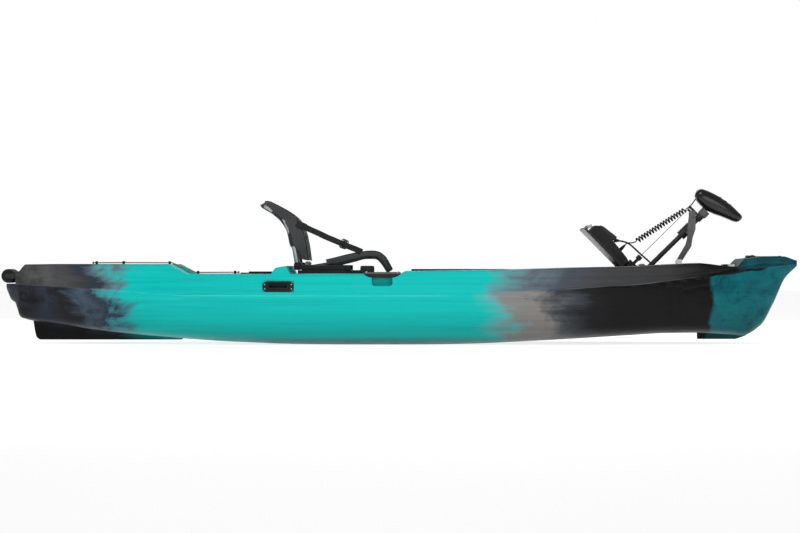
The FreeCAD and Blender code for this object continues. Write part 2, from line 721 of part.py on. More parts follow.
def bow_hatch():
    """A gasketed lid over the bow tub, hinged at its forward edge, with a finger latch."""
    aft = dim("hatch_aft")
    fore = dim("hatch_fore")
    half = dim("hatch_half")
    seat = HATCH_SEAT_Z
    ring = new_body("GasketBody")
    outer = new_sketch(ring, "XY_Plane", "GasketOuter", seat)
    corners = [(aft - 11, -half - 9), (fore + 9, -half - 9), (fore + 9, half + 9), (aft - 11, half + 9)]
    draw_outline(outer, corners, 44)
    pad(ring, outer, 3)
    inner = new_sketch(ring, "XY_Plane", "GasketInner", seat)
    corners = [(aft - 3, -half - 2), (fore + 3, -half - 2), (fore + 3, half + 2), (aft - 3, half + 2)]
    draw_outline(inner, corners, 38)
    pocket(ring, inner, 20)
    sub_part("hatch_gasket", ring)
    lid = new_body("HatchLidBody")
    outline = new_sketch(lid, "XY_Plane", "LidOutline", seat + 3.3)
    corners = [(aft - 13, -half - 10), (fore + 11, -half - 10), (fore + 11, half + 10), (aft - 13, half + 10)]
    draw_outline(outline, corners, 45)
    pad(lid, outline, 7)
    hinge_x = fore + 19
    hinge_z = seat + 8
    leaf = block("HatchLeaf", (28, 30, 5), (fore - 8, -15, seat + 5.3))
    barrel = cylinder("HatchBarrel", 5, 30, (hinge_x, -15, hinge_z), PORT)
    whole = fuse("HatchLid", [lid, leaf, barrel])
    bore = cylinder("HatchBore", 2.55, 60, (hinge_x, -30, hinge_z), PORT)
    sub_part("hatch_lid", cut("HatchLidCut", whole, bore))
    lugs = []
    for side in (-1, 1):
        lug = block("HatchLug", (13, 10, 12), (hinge_x - 6.5, side * 21 - 5, seat))
        hole = cylinder("HatchLugBore", 2.55, 20, (hinge_x, side * 21 - 10, hinge_z), PORT)
        lugs.append(cut("HatchLugCut", lug, hole))
    pin = cylinder("HatchPin", 2.5, 52, (hinge_x, -26, hinge_z), PORT)
    sub_part("hatch_hinge", group("HatchHinge", lugs + [pin]))
    latch = block("LatchTab", (46, 30, 4), (aft - 10, -15, seat + 10.6))
    latch = rounded("LatchTabRound", latch, 6, along((0, 0, 1)))
    post = cylinder("LatchPost", 5, 3, (aft + 22, 0, seat + 14.6))
    sub_part("hatch_latch", fuse("HatchLatch", [latch, post]))


sub_part("drain_plug", drain_plug())
stern_handle()
fasteners = bow_strap() + side_handles() + gunwale_bars() + gear_tracks()
sub_part("deck_fasteners", group("Fasteners", fasteners))
bungee()
battery()
bow_hatch()


# ---------------------------------------------------------------- seat


def seat_rails():
    """A fixed rail beside the cockpit on each ledge, with an end stop ahead of it."""
    rails = []
    aft = dim("rail_aft")
    for side, word in SIDES:
        body = new_body("Rail" + word)
        profile = new_sketch(body, "YZ_Plane", "RailProfile" + word, aft)
        half = [(12, 0), (12, 17), (5, 17), (5, 9)]
        outline = half + [(-y, z) for y, z in half[::-1]]
        middle = side * dim("rail_mid")
        draw_outline(profile, [(middle + y, dim("ledge_z") + z) for y, z in outline])
        pad(body, profile, "Dims.rail_fore - Dims.rail_aft")
        rails.append(body)
        stop = block("RailStop" + word, (66, 26, 40), (-202, middle - 13, dim("ledge_z")))
        rails.append(rounded("RailStopRound" + word, stop, 9, along(PORT)))
    sub_part("seat_rails", group("Rails", rails))


def tube_path(points, radius):
    """A frame tube bent through a few points."""
    return tube_along("tube", points, radius, 0.4)


def seat_base():
    """Side beams on the rails, a bent tube frame between them, and its mesh pad."""
    beams = []
    for side, word in SIDES:
        low = (-498, side * dim("rail_mid") - 12, dim("ledge_z") + 17.5)
        beam = block("Beam" + word, (249, 24, 26), low)
        beams.append(rounded("BeamRound" + word, beam, 4, along((1, 0, 0))))
    sub_part("seat_beams", group("Beams", beams))
    half = dim("seat_half")
    radius = dim("tube_rad")
    tubes = []
    for side in (-1, 1):
        y = side * half
        route = [(-470, y, 391), (-375, y, 405), (-200, y, 450), (-120, y, 452), (-66, y, 415), (-48, y, 378)]
        tubes.append(tube_path(route, radius))
        for x in (-455, -415):
            low, high = sorted((side * (half + radius - 3), side * (dim("rail_mid") - 12)))
            tubes.append(Part.makeCylinder(5, high - low, Vector(x, low, 391), Vector(0, 1, 0)))
    frame = tubes[0].fuse(tubes[1:])
    for x, z in ((-398, 400), (-66, 413)):
        length = 2 * (half - 2)
        frame = frame.fuse(Part.makeCylinder(10, length, Vector(x, -length / 2, z), Vector(0, 1, 0)))
    sub_part("seat_base_frame", solid("SeatBaseFrame", frame))
    body = new_body("SeatPadBody")
    side_view = new_sketch(body, "XZ_Plane", "SeatPadSide")
    top = [(-376, 427), (-290, 448), (-195, 469), (-125, 471), (-84, 452)]
    under = [(-92, 434), (-130, 446), (-190, 443), (-290, 420), (-372, 402)]
    draw_outline(side_view, top + under)
    pad(body, side_view, 2 * (half - radius - 1), True)
    sub_part("seat_base_pad", body)


def seat_pivots():
    """The plates and bolts that the seat back swings on."""
    pieces = []
    inner = dim("rail_mid") - 12
    for side, word in SIDES:
        low_y = min(side * inner, side * (inner + 8))
        plate = block("PivotPlate" + word, (41.5, 8, 40), (-540, low_y, 378.8))
        plate = rounded("PivotPlateRound" + word, plate, 12, along(PORT))
        at = (dim("recline_x"), side * 230, dim("recline_z"))
        bolt = cylinder("PivotBolt" + word, 5, 50, at, (0, side, 0))
        head_at = (dim("recline_x"), side * 280, dim("recline_z"))
        head = cylinder("PivotHead" + word, 9, 5, head_at, (0, side, 0))
        pieces.append(fuse("Pivot" + word, [plate, bolt, head]))
    sub_part("seat_pivots", group("Pivots", pieces))


def seat_knobs():
    """A lobed clamp knob on the outside of each side beam."""
    for side, word in SIDES:
        face = side * (dim("rail_mid") + 12.4)
        at = (-262, face, dim("ledge_z") + 30.5)
        body = new_body("Knob" + word, Placement(Vector(*at), Rotation(Vector(0, 0, 1), Vector(0, side, 0))))
        disc = new_sketch(body, "XY_Plane", "KnobDisc" + word)
        lobes = 6
        outline = []
        for number in range(2 * lobes):
            reach = 14 if number % 2 == 0 else 11
            turn = math.pi * number / lobes
            outline.append((reach * math.cos(turn), reach * math.sin(turn)))
        draw_outline(disc, outline, 1.5)
        pad(body, disc, 16)
        sub_part("seat_knob_" + word, body)


def seat_back():
    """A bent tube frame on two pivots, with its mesh pad and the roll at its lower hem."""
    half = dim("seat_half")
    radius = dim("tube_rad")
    pivot = (dim("recline_x"), dim("recline_z"))
    pieces = []
    for side in (-1, 1):
        y = side * half
        boss = Part.makeCylinder(14, 22, Vector(pivot[0], y - 11, pivot[1]), Vector(0, 1, 0))
        foot = (pivot[0] - 1, y, pivot[1] + 8)
        route = [foot, (-538, y, 490), (-560, y, 570), (-596, y, 644), (-684, y, 700)]
        pieces += [boss, tube_path(route, radius)]
    frame = pieces[0].fuse(pieces[1:])
    for x, z in ((-551, 536), (-684, 700)):
        length = 2 * (half + 2)
        frame = frame.fuse(Part.makeCylinder(10, length, Vector(x, -length / 2, z), Vector(0, 1, 0)))
    hole = Part.makeCylinder(5 + dim("running_fit"), 700, Vector(pivot[0], -350, pivot[1]), Vector(0, 1, 0))
    sub_part("seat_back_frame", solid("SeatBackFrame", frame.cut(hole)))
    body = new_body("BackPadBody")
    side_view = new_sketch(body, "XZ_Plane", "BackPadSide")
    front = [(-464, 426), (-478, 509), (-494, 576), (-521, 634), (-571, 676), (-652, 722)]
    rear = [(-664, 712), (-584, 664), (-545, 612), (-528, 560), (-510, 500), (-496, 430)]
    draw_outline(side_view, front + rear)
    pad(body, side_view, 2 * (half - radius - 1), True)
    sub_part("seat_back_pad", body)
    length = 2 * (half - radius - 4)
    roll = cylinder("HemRoll", 10.5, length, (-476, -length / 2, 413), PORT)
    sub_part("seat_hem_roll", roll)


def seat_straps():
    """A tension strap on each side, its buckle on the back and its slider half way."""
    upper = Vector(-496, 0, 604)
    lower = Vector(-200, 0, 474)
    run = lower - upper
    slope = Placement(upper, Rotation(Vector(1, 0, 0), run))
    straps = []
    buckles = []
    for side, word in SIDES:
        low_y = min(side * 264.5, side * 267.5)
        straps.append(block("Strap" + word, (run.Length, 3, 25), (0, low_y, -12.5), slope))
        low_y = min(side * 261.5, side * 271)
        slider = block("Slider" + word, (22, 9.5, 38), (238, low_y, -19), slope)
        straps.append(rounded("SliderRound" + word, slider, 3, along(PORT)))
        low_y = min(side * 262.5, side * 272)
        buckle = block("Buckle" + word, (32, 9.5, 34), (-32.5, low_y, -17), slope)
        buckles.append(rounded("BuckleRound" + word, buckle, 4, along(PORT)))
    sub_part("seat_straps", fuse("Straps", straps))
    sub_part("strap_buckles", group("Buckles", buckles))


seat_rails()
seat_base()
seat_pivots()
seat_knobs()
seat_back()
seat_straps()

# ---------------------------------------------------------------- motor unit

# The motor unit is drawn upright, with the tilt axis at its origin, and then leant forward.
STOW = Placement(
    Vector(dim("hinge_x"), 0, dim("hinge_z")), Rotation(Vector(0, 1, 0), dim("stow_angle"))
)
SHAFT_X = -dim("shaft_back")
PLATE_LOW = 8
PLATE_TOP = PLATE_LOW + dim("plate_thick")
NECK_Z = 535
HEAD = STOW * Placement(Vector(SHAFT_X, 0, NECK_Z), Rotation(Vector(0, 1, 0), -16))


# The curly cord beside the shaft and its straight leads: points in the motor unit's own frame.
COIL_LOW = (-205, 12, 169)
COIL_HIGH = (-143, 12, 469)
LEAD_LOW = [(-232, 12, 112), (-232, 12, 131), (-209, 12, 150), COIL_LOW]
LEAD_HIGH = [COIL_HIGH, (-139.3, 12, 486.8), (-139, 12, 512), (-146, 12, 541.5)]
PULL_CORD = [(-136, -8, 126), (-136, -8, 484)]
# The power cable from the control housing down to the deck, in the boat's frame.
POWER_CABLE = [(1133, -46, 530), (1168, -56, 526), (1204, -66, 498), (1240, -76, 462), (1280, -86, 428),
               (1318, -94, 388), (1336, -98, 340), (1340, -99, 290), (1340, -99, 262)]


def tilt_hinge():
    """Four lugs on the bench and the long pin that the motor plate swings on."""
    lugs = []
    x = dim("hinge_x")
    z = dim("hinge_z")
    bench = dim("bench_floor")
    radius = dim("pin_rad")
    slack = dim("running_fit")
    for y in (-116, -52, 52, 116):
        foot = block("LugFoot", (58, 10, 6), (x - 13, y - 5, bench))
        upright = block("LugUpright", (26, 10, z - bench + 12), (x - 13, y - 5, bench))
        upright = rounded("LugRound", upright, 9, lambda e: along(PORT)(e) and e.Vertexes[0].Z > z)
        lug = fuse("Lug", [foot, upright])
        lugs.append(cut("LugCut", lug, cylinder("LugBore", radius + slack, 20, (x, y - 10, z), PORT)))
    sub_part("tilt_bracket", group("TiltBracket", lugs))
    outline = [(0, -126), (9, -126), (9, -122), (radius, -122), (radius, 124), (0, 124)]
    pin = turned("TiltPin", outline, (x, 0, z), PORT)
    sub_part("tilt_pin", pin)


def motor_plate():
    """The deck plate of the motor, with two hinge barrels and two lever lugs."""
    half = dim("plate_half")
    body = new_body("PlateBody")
    outline = new_sketch(body, "XY_Plane", "PlateOutline", PLATE_LOW)
    rear = 12 - dim("plate_len")
    draw_outline(outline, [(rear, -half), (-20, -half), (-20, half), (rear, half)], 22)
    pad(body, outline, "Dims.plate_thick")
    hole = new_sketch(body, "XY_Plane", "PlateHole", PLATE_LOW)
    draw_circle(hole, 24, (SHAFT_X, 0))
    pocket(body, hole, 60)
    pieces = [body]
    for side in (-1, 1):
        pieces.append(cylinder("PlateBarrel", 10.5, 52, (0, side * 84 - 26, 0), PORT))
        pieces.append(block("PlateWeb", (32, 52, 12), (-32, side * 84 - 26, 0)))
        pieces.append(block("LeverLug", (14, 6, 16), (rear + 3, side * 22 - 3, PLATE_TOP)))
    plate = fuse("Plate", pieces)
    bores = fuse("PlateBores", [
        cylinder("PlateBore", dim("pin_rad") + dim("running_fit"), 260, (0, -130, 0), PORT),
        cylinder("LeverBore", 3 + dim("running_fit"), 80, (rear + 10, -40, PLATE_TOP + 9), PORT),
    ])
    plate = cut("PlateCut", plate, bores)
    plate.Placement = STOW
    sub_part("motor_plate", plate)
    lever = new_body("LeverBody")
    side_view = new_sketch(lever, "XZ_Plane", "LeverSide")
    x = rear + 10
    z = PLATE_TOP + 9
    grip = [(x + 18, z + 28), (x + 6, z + 34)]
    draw_outline(side_view, [(x - 7, z - 6), (x + 6, z - 6)] + grip + [(x - 10, z + 6)], 2.5)
    pad(lever, side_view, 34, True)
    pin = cylinder("LeverPin", 3, 52, (x, -26, z), PORT)
    whole = fuse("Lever", [lever, pin])
    whole.Placement = STOW
    sub_part("release_latch", whole)


def power_gland():
    """The gland where the power cable leaves the lid block."""
    inverse = STOW.inverse()
    exit_at = inverse.multVec(Vector(*POWER_CABLE[0]))
    exit_way = inverse.multVec(Vector(*POWER_CABLE[1])) - exit_at
    exit_way.normalize()
    back = exit_at - exit_way * 26
    outline = [(0, 0), (10, 0), (10, 10), (6, 26), (0, 26)]
    return turned("PowerGland", outline, tuple(back), tuple(exit_way), STOW)


def control_box():
    """The control housing on the plate, its lid block and the circuit board inside."""
    half = 74
    body = new_body("HousingBody", STOW)
    side_view = new_sketch(body, "XZ_Plane", "HousingSide")
    draw_outline(side_view, [(-418, PLATE_TOP), (-166, PLATE_TOP), (-166, 62), (-182, 68), (-300, 80),
                             (-404, 80), (-418, 66)], 5)
    pad(body, side_view, 2 * half, True)
    hollow = new_sketch(body, "XZ_Plane", "HousingHollow")
    draw_outline(hollow, [(-414, PLATE_TOP - 5), (-170, PLATE_TOP - 5), (-170, 58), (-300, 76),
                          (-402, 76), (-414, 64)], 3)
    pocket(body, hollow, 2 * half - 8)
    sub_part("control_housing", body)
    cover = new_body("CoverBody", STOW)
    side_view = new_sketch(cover, "XZ_Plane", "CoverSide")
    draw_outline(side_view, [(-398, 80.3), (-296, 80.3), (-288, 98), (-296, 108), (-384, 96), (-398, 88)], 3)
    pad(cover, side_view, 118, True)
    sub_part("housing_cover", cut("CoverCut", cover, power_gland()))
    sub_part("control_board", block("ControlBoard", (200, 110, 8), (-400, -55, PLATE_TOP + 4), STOW))


def steering_housing():
    """The gear case around the foot of the shaft, with its bore."""
    wall = [(24, PLATE_TOP), (46, PLATE_TOP), (46, 96), (34, 112), (17, 112), (17, 96), (24, 96)]
    drum = turned("SteerDrum", wall, (SHAFT_X, 0, 0), (0, 0, 1))
    case = block("SteerCase", (64, 56, 58), (SHAFT_X - 96, -28, PLATE_TOP))
    case = rounded("SteerCaseRound", case, 8, along((0, 0, 1)))
    clear = cylinder("SteerClear", 30, 90, (SHAFT_X, 0, PLATE_TOP - 5))
    whole = fuse("SteeringHousing", [drum, cut("SteerCaseCut", case, clear)])
    whole.Placement = STOW
    sub_part("steering_housing", whole)


def lobed_shell(name, outline, width, keep_low, keep_high, wall):
    """One half of the control head: a rounded hollow body cut at the split line."""
    body = new_body(name + "Body")
    side_view = new_sketch(body, "XZ_Plane", name + "Side")
    draw_outline(side_view, outline, 7)
    pad(body, side_view, width, True)
    doc.recompute()
    rims = [edge for edge in body.Shape.Edges if abs(abs(edge.CenterOfMass.y) - width / 2) < 0.1]
    outer = body.Shape.makeFillet(16, rims)
    centre = outer.BoundBox.Center
    smaller = outer.copy()
    matrix = FreeCAD.Matrix()
    matrix.move(-centre)
    matrix.scale(Vector(*[1 - 2 * wall / s for s in (outer.BoundBox.XLength, outer.BoundBox.YLength,
                                                     outer.BoundBox.ZLength)]))
    matrix.move(centre)
    smaller = smaller.transformGeometry(matrix)
    slab = Part.makeBox(400, 200, keep_high - keep_low, Vector(-200, -100, keep_low))
    return solid(name, outer.common(slab).cut(smaller), HEAD)


def control_head():
    """Two shells closed on a split line, on a clamp at the top of the shaft."""
    outline = [(-88, 42), (-92, 62), (-80, 90), (-5, 97), (78, 90), (168, 74), (181, 58), (163, 20),
               (42, 18), (-60, 18)]
    split = 56
    sub_part("head_lower", lobed_shell("HeadLower", outline, 96, 0, split - 0.4, 3))
    sub_part("head_upper", lobed_shell("HeadUpper", outline, 96, split, 120, 3))
    ring = [(12.75, 498), (20, 498), (25, 506), (25, 536), (12.75, 536)]
    clamp = turned("NeckClamp", ring, (SHAFT_X, 0, 0), (0, 0, 1), STOW)
    sub_part("neck_clamp", clamp)


def lower_unit():
    """The shaft tube, the motor pod with its fin, its nose, the armature and the propeller."""
    pod_z = -dim("pod_drop")
    tube = cylinder("ShaftTube", "Dims.shaft_rad", 732, (SHAFT_X, 0, -195), frame=STOW)
    bore = cylinder("ShaftBore", 9, 760, (SHAFT_X, 0, -210), frame=STOW)
    sub_part("motor_shaft", cut("MotorShaft", tube, bore))
    back = (-1, 0, 0)
    at = (SHAFT_X, 0, pod_z)
    radius = dim("pod_rad")
    inner = radius - 4
    wall = [(inner, -42), (radius, -42), (radius, 62), (30, 84), (18, 92), (5.05, 92), (5.05, 88),
            (16, 88), (27, 80), (inner, 60)]
    shell = turned("PodShell", wall, at, back, STOW)
    boss = cylinder("PodBoss", 19, 42, (SHAFT_X, 0, pod_z + 38), frame=STOW)
    keel = new_body("FinBody", STOW)
    side_view = new_sketch(keel, "XZ_Plane", "FinSide")
    root = [(SHAFT_X - 50, pod_z - 38), (SHAFT_X + 30, pod_z - 38)]
    tip = [(SHAFT_X - 12, pod_z - 98), (SHAFT_X - 44, pod_z - 104)]
    draw_outline(side_view, root + tip, 5)
    pad(keel, side_view, 6, True)
    socket = cylinder("PodSocket", 12.75, 60, (SHAFT_X, 0, pod_z + 35), frame=STOW)
    inside = cylinder("PodInside", inner, 100, (SHAFT_X + 41.9, 0, pod_z), back, STOW)
    pod = fuse("PodFuse", [shell, cut("PodBossCut", boss, inside), cut("FinCut", keel, inside)])
    sub_part("motor_pod", cut("PodCut", pod, socket))
    dome = [(0, 42.3), (radius, 42.3), (38, 60), (31, 76), (20, 87), (8, 92), (0, 93)]
    nose = turned("MotorNose", dome, at, (1, 0, 0), STOW)
    sub_part("motor_nose", nose)
    spindle = turned("Armature", [(0, -34), (29, -34), (29, 52), (5, 52), (5, 104), (0, 104)], at, back, STOW)
    sub_part("armature", spindle)
    propeller(pod_z)


def propeller(pod_z):
    """A hub with three twisted blades, and its nut."""
    axis_at = Vector(SHAFT_X - dim("prop_back"), 0, pod_z)
    hub = Part.makeCone(19, 15, 34, Vector(0, 0, -17))
    blade_sections = []
    for reach, chord, twist in ((12, 30, 48), (45, 52, 34), (80, 46, 24), (dim("prop_rad"), 18, 18)):
        turn = math.radians(twist)
        along_chord = Vector(0, math.cos(turn), math.sin(turn)) * (chord / 2)
        across = Vector(0, -math.sin(turn), math.cos(turn)) * 1.6
        centre = Vector(reach, 0, 0)
        corners = [centre + along_chord, centre + across, centre - along_chord, centre - across]
        blade_sections.append(Part.makePolygon(corners + corners[:1]))
    blade = Part.makeLoft(blade_sections, True, True)
    shape = hub
    for number in range(3):
        turned_blade = blade.copy()
        turned_blade.rotate(Vector(0, 0, 0), Vector(0, 0, 1), 120 * number)
        shape = shape.fuse(turned_blade)
    nut = Part.makeCone(12, 7, 14, Vector(0, 0, 17))
    bore = Part.makeCylinder(5, 40, Vector(0, 0, -27))
    shape = shape.fuse(nut).cut(bore)
    place = STOW * Placement(axis_at, Rotation(Vector(0, 0, 1), Vector(-1, 0, 0)))
    sub_part("propeller", solid("Propeller", shape, place))


def shaft_fittings():
    """The depth collar that rests in the saddle, and the clip that holds two of the cords."""
    ring = [(12.75, 350), (25, 350), (25, 424), (12.75, 424)]
    collar = turned("DepthCollar", ring, (SHAFT_X, 0, 0), (0, 0, 1), STOW)
    sub_part("depth_collar", collar)
    ring = [(12.75, 470), (19, 470), (19, 496), (12.75, 496)]
    ring = turned("ClipRing", ring, (SHAFT_X, 0, 0), (0, 0, 1), STOW)
    coil_arm = block("ClipCoilArm", (53, 8, 12), (SHAFT_X - 70, 8, 470), STOW)
    pull_arm = block("ClipPullArm", (65, 10, 12), (SHAFT_X - 80, -13, 484), STOW)
    sub_part("cord_clip", fuse("Clip", [ring, coil_arm, pull_arm]))


def cords():
    """The cords of the motor unit, the glands that they leave and the pull cord's bracket."""
    low = Vector(*COIL_LOW)
    run = Vector(*COIL_HIGH) - low
    coil = cylinder("Coil", "Dims.coil_rad", run.Length, COIL_LOW, tuple(run), STOW)
    sub_part("coil_cord", coil)
    leads = []
    for route in (LEAD_LOW, LEAD_HIGH):
        tube = tube_along("lead", route, 3.5)
        leads.append(solid("Lead", tube, STOW))
    sub_part("cord_leads", group("Leads", leads))
    outline = [(0, 75), (9, 75), (9, 90), (5, 112), (0, 112)]
    lead_gland = turned("LeadGland", outline, (-232, 12, 0), (0, 0, 1), STOW)
    sub_part("cable_glands", group("Glands", [lead_gland, power_gland()]))
    sub_part("power_cable", solid("PowerCable", tube_along("power", POWER_CABLE, dim("power_rad"))))
    x, y, z = POWER_CABLE[-1]
    bench = dim("bench_floor")
    height = z - bench
    outline = [(0, 0), (17, 0), (17, 4), (9, 5), (7, height), (0, height)]
    sub_part("deck_gland", turned("DeckGland", outline, (x, y, bench), (0, 0, 1)))
    start = PULL_CORD[0]
    cord = cylinder("PullCord", "Dims.cord_rad", PULL_CORD[1][2] - start[2], start, frame=STOW)
    sub_part("pull_cord", cord)
    head = block("CordHead", (26, 62, 20), (-149, -50, start[2] - 20))
    head = rounded("CordHeadRound", head, 6, along((0, 0, 1)))
    foot = block("CordFoot", (16, 16, start[2] - 20 - PLATE_TOP), (-144, -48, PLATE_TOP))
    bracket = fuse("CordBracket", [head, foot])
    bracket.Placement = STOW
    sub_part("cord_bracket", bracket)


def support_arm():
    """The arm that carries the stowed shaft: a bent plate, a saddle and a knob at its top."""
    x = dim("arm_x")
    z = dim("arm_z")
    y = dim("arm_y")
    body = new_body("ArmBody")
    side_view = new_sketch(body, "XZ_Plane", "ArmSide", -y - 9)
    front = [(x + 15, z), (1504, 500), (1511, 545), (1526, 590), (1527, 668)]
    rear = [(1494, 668), (1484, 590), (1484, 545), (1476, 512), (x - 15, z)]
    lower = [(x - 10, z - 12), (x + 10, z - 12)]
    draw_outline(side_view, front + rear + lower, 4)
    pad(body, side_view, 18)
    knob = cylinder("ArmKnob", 18, 26, (1510, y - 13, 668), PORT)
    knob = rounded("ArmKnobRound", knob, 4, every_edge)
    block_low = block("SaddleBlock", (32, 86, 20), (SHAFT_X + 3, y + 9, 377), STOW)
    clear = cylinder("SaddleClear", 25.6, 40, (SHAFT_X, 0, 367), frame=STOW)
    saddle = cut("Saddle", block_low, clear)
    arm = fuse("Arm", [body, knob, saddle])
    bore = cylinder("ArmBore", 5.05, 60, (x, y - 30, z), PORT)
    sub_part("support_arm", cut("ArmCut", arm, bore))
    lugs = []
    for low_y in (y - 18, y + 9.4):
        lug = block("ArmLug", (30, 8.6, z - ARM_SEAT_Z + 10), (x - 15, low_y, ARM_SEAT_Z))
        lug = rounded("ArmLugRound", lug, 8, lambda e: along(PORT)(e) and e.Vertexes[0].Z > z)
        lugs.append(cut("ArmLugCut", lug, cylinder("ArmLugBore", 5.05, 60, (x, y - 30, z), PORT)))
    pin = cylinder("ArmPin", 5, 42, (x, y - 21, z), PORT)
    sub_part("arm_bracket", group("ArmBracket", lugs + [pin]))


tilt_hinge()
motor_plate()
control_box()
steering_housing()
control_head()
lower_unit()
shaft_fittings()
cords()
support_arm()

# ---------------------------------------------------------------- check and write

doc.recompute()
for thing in doc.Objects:
    if "Invalid" in thing.State or "Error" in thing.State:
        raise ValueError(thing.Name + " failed to compute")

os.makedirs("parts", exist_ok=True)
for label, thing in NODES.items():
    if thing.Shape.isNull() or not thing.Shape.isValid():
        raise ValueError(label + " has no valid shape")
    thing.Shape.exportStep("parts/%s.step" % label)
print(len(NODES), "sub-parts written")
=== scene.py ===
import math

import bmesh
import bpy
from mathutils import Matrix, Vector, noise


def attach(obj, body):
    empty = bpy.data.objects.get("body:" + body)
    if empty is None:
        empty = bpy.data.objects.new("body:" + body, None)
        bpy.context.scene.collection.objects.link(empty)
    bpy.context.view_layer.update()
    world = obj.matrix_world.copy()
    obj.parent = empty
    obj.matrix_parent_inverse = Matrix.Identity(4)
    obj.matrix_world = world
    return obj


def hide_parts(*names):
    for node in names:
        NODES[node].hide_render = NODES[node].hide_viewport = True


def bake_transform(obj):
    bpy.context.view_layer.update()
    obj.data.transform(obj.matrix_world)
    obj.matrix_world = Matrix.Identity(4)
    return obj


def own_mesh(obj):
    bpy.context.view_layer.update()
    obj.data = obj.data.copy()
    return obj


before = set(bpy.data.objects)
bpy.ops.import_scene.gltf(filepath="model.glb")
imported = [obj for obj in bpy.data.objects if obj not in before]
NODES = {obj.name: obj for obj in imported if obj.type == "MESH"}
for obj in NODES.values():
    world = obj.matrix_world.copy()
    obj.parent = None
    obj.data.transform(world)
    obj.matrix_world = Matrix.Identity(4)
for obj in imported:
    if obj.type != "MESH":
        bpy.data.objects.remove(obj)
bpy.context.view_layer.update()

# A sit-on-top fishing kayak. Metres; +X is the bow, +Y port, +Z up.
# Lengths that are written in millimetres go through mm().


def mm(*amounts):
    """Millimetres as metres: one number, or a point."""
    if len(amounts) == 1:
        return amounts[0] / 1000
    return Vector([amount / 1000 for amount in amounts])


# ---------------------------------------------------------------- materials


class Paint:
    """A principled material with helpers for its node tree."""

    def __init__(self, name, roughness, metallic=0.0, coat=0.0, sheen=0.0):
        self.material = bpy.data.materials.new(name)
        self.material.use_nodes = True
        self.tree = self.material.node_tree
        self.shader = self.tree.nodes["Principled BSDF"]
        for socket, amount in (("Roughness", roughness), ("Metallic", metallic), ("Coat Weight", coat),
                               ("Coat Roughness", 0.12), ("Sheen Weight", sheen), ("Sheen Roughness", 0.5),
                               ("Specular IOR Level", 0.5 if metallic else 0.22)):
            self.set(socket, amount)
        self.place = self.add("ShaderNodeTexCoord").outputs["Object"]

    def set(self, socket, amount):
        self.shader.inputs[socket].default_value = amount

    def add(self, kind, **settings):
        node = self.tree.nodes.new(kind)
        for key, amount in settings.items():
            setattr(node, key, amount)
        return node

    def join(self, output, target):
        self.tree.links.new(output, target)

    def feed(self, socket, value):
        """Give a socket a number, a colour or another node's output."""
        if isinstance(value, (int, float)):
            socket.default_value = value
        elif hasattr(value, "__len__"):
            socket.default_value = tuple(value) + (1,)
        else:
            self.join(value, socket)

    def noise(self, scale, detail=4, stretch=(1, 1, 1), rough=0.6, twist=0.0):
        texture = self.add("ShaderNodeTexNoise")
        for socket, amount in (("Scale", scale), ("Detail", detail), ("Roughness", rough),
                               ("Distortion", twist)):
            texture.inputs[socket].default_value = amount
        mapping = self.add("ShaderNodeMapping")
        mapping.inputs["Scale"].default_value = stretch
        self.join(self.place, mapping.inputs["Vector"])
        self.join(mapping.outputs["Vector"], texture.inputs["Vector"])
        return texture.outputs["Fac"]

    def math(self, operation, one, two=None, three=None):
        node = self.add("ShaderNodeMath", operation=operation)
        for socket, value in zip(node.inputs, (one, two, three)):
            if value is not None:
                self.feed(socket, value)
        return node.outputs[0]

    def axes(self):
        split = self.add("ShaderNodeSeparateXYZ")
        self.join(self.place, split.inputs[0])
        return split.outputs[:]

    def fit(self, value, by, plus):
        """value * by + plus."""
        return self.math("MULTIPLY_ADD", value, by, plus)

    def ramp(self, factor, stops):
        """Colours, or greys, between (position, tone) stops."""
        node = self.add("ShaderNodeValToRGB")
        elements = node.color_ramp.elements
        while len(elements) < len(stops):
            elements.new(0.5)
        for element, (where, colour) in zip(elements, stops):
            element.position = where
            if not hasattr(colour, "__len__"):
                colour = (colour, colour, colour)
            element.color = tuple(colour) + (1,)
        self.join(factor, node.inputs["Fac"])
        return node.outputs["Color"]

    def mix(self, factor, one, two, blend="MIX"):
        """one where factor is 0 and two where it is 1."""
        node = self.add("ShaderNodeMix", data_type="RGBA", blend_type=blend)
        for number, value in ((0, factor), (6, one), (7, two)):
            self.feed(node.inputs[number], value)
        return node.outputs[2]

    def bump(self, height, strength, distance):
        node = self.add("ShaderNodeBump")
        node.inputs["Strength"].default_value = strength
        node.inputs["Distance"].default_value = distance
        self.join(height, node.inputs["Height"])
        self.join(node.outputs["Normal"], self.shader.inputs["Normal"])

    def colour(self, source):
        self.join(source, self.shader.inputs["Base Color"])

    def rough(self, source, stops):
        self.join(self.ramp(source, stops), self.shader.inputs["Roughness"])


def moulded(name, colour, roughness, vary=0.25, grain=900, strength=0.15, coat=0.0):
    """Moulded plastic: a fine grain, a soft mottle and worn patches."""
    paint = Paint(name, roughness, coat=coat)
    light = [min(1, c * (1 + vary) + 0.01) for c in colour]
    dark = [c * (1 - vary) for c in colour]
    paint.colour(paint.ramp(paint.noise(9, 5), [(0.3, dark), (0.7, light)]))
    low, high = max(0.05, roughness - 0.1), min(1, roughness + 0.12)
    paint.rough(paint.noise(40, 3), [(0.35, low), (0.65, high)])
    paint.bump(paint.noise(grain, 2), strength, 0.0006)
    return paint.material


def metal(name, colour, roughness, stretch):
    """Brushed or drawn metal: fine lines along one axis and a slight tone change."""
    paint = Paint(name, roughness, metallic=1.0)
    lines = paint.noise(300, 3, stretch)
    dark = [c * 0.82 for c in colour]
    paint.colour(paint.ramp(lines, [(0.3, dark), (0.7, colour)]))
    paint.rough(paint.noise(14, 3), [(0.3, roughness - 0.07), (0.7, roughness + 0.1)])
    paint.bump(lines, 0.08, 0.0003)
    return paint.material


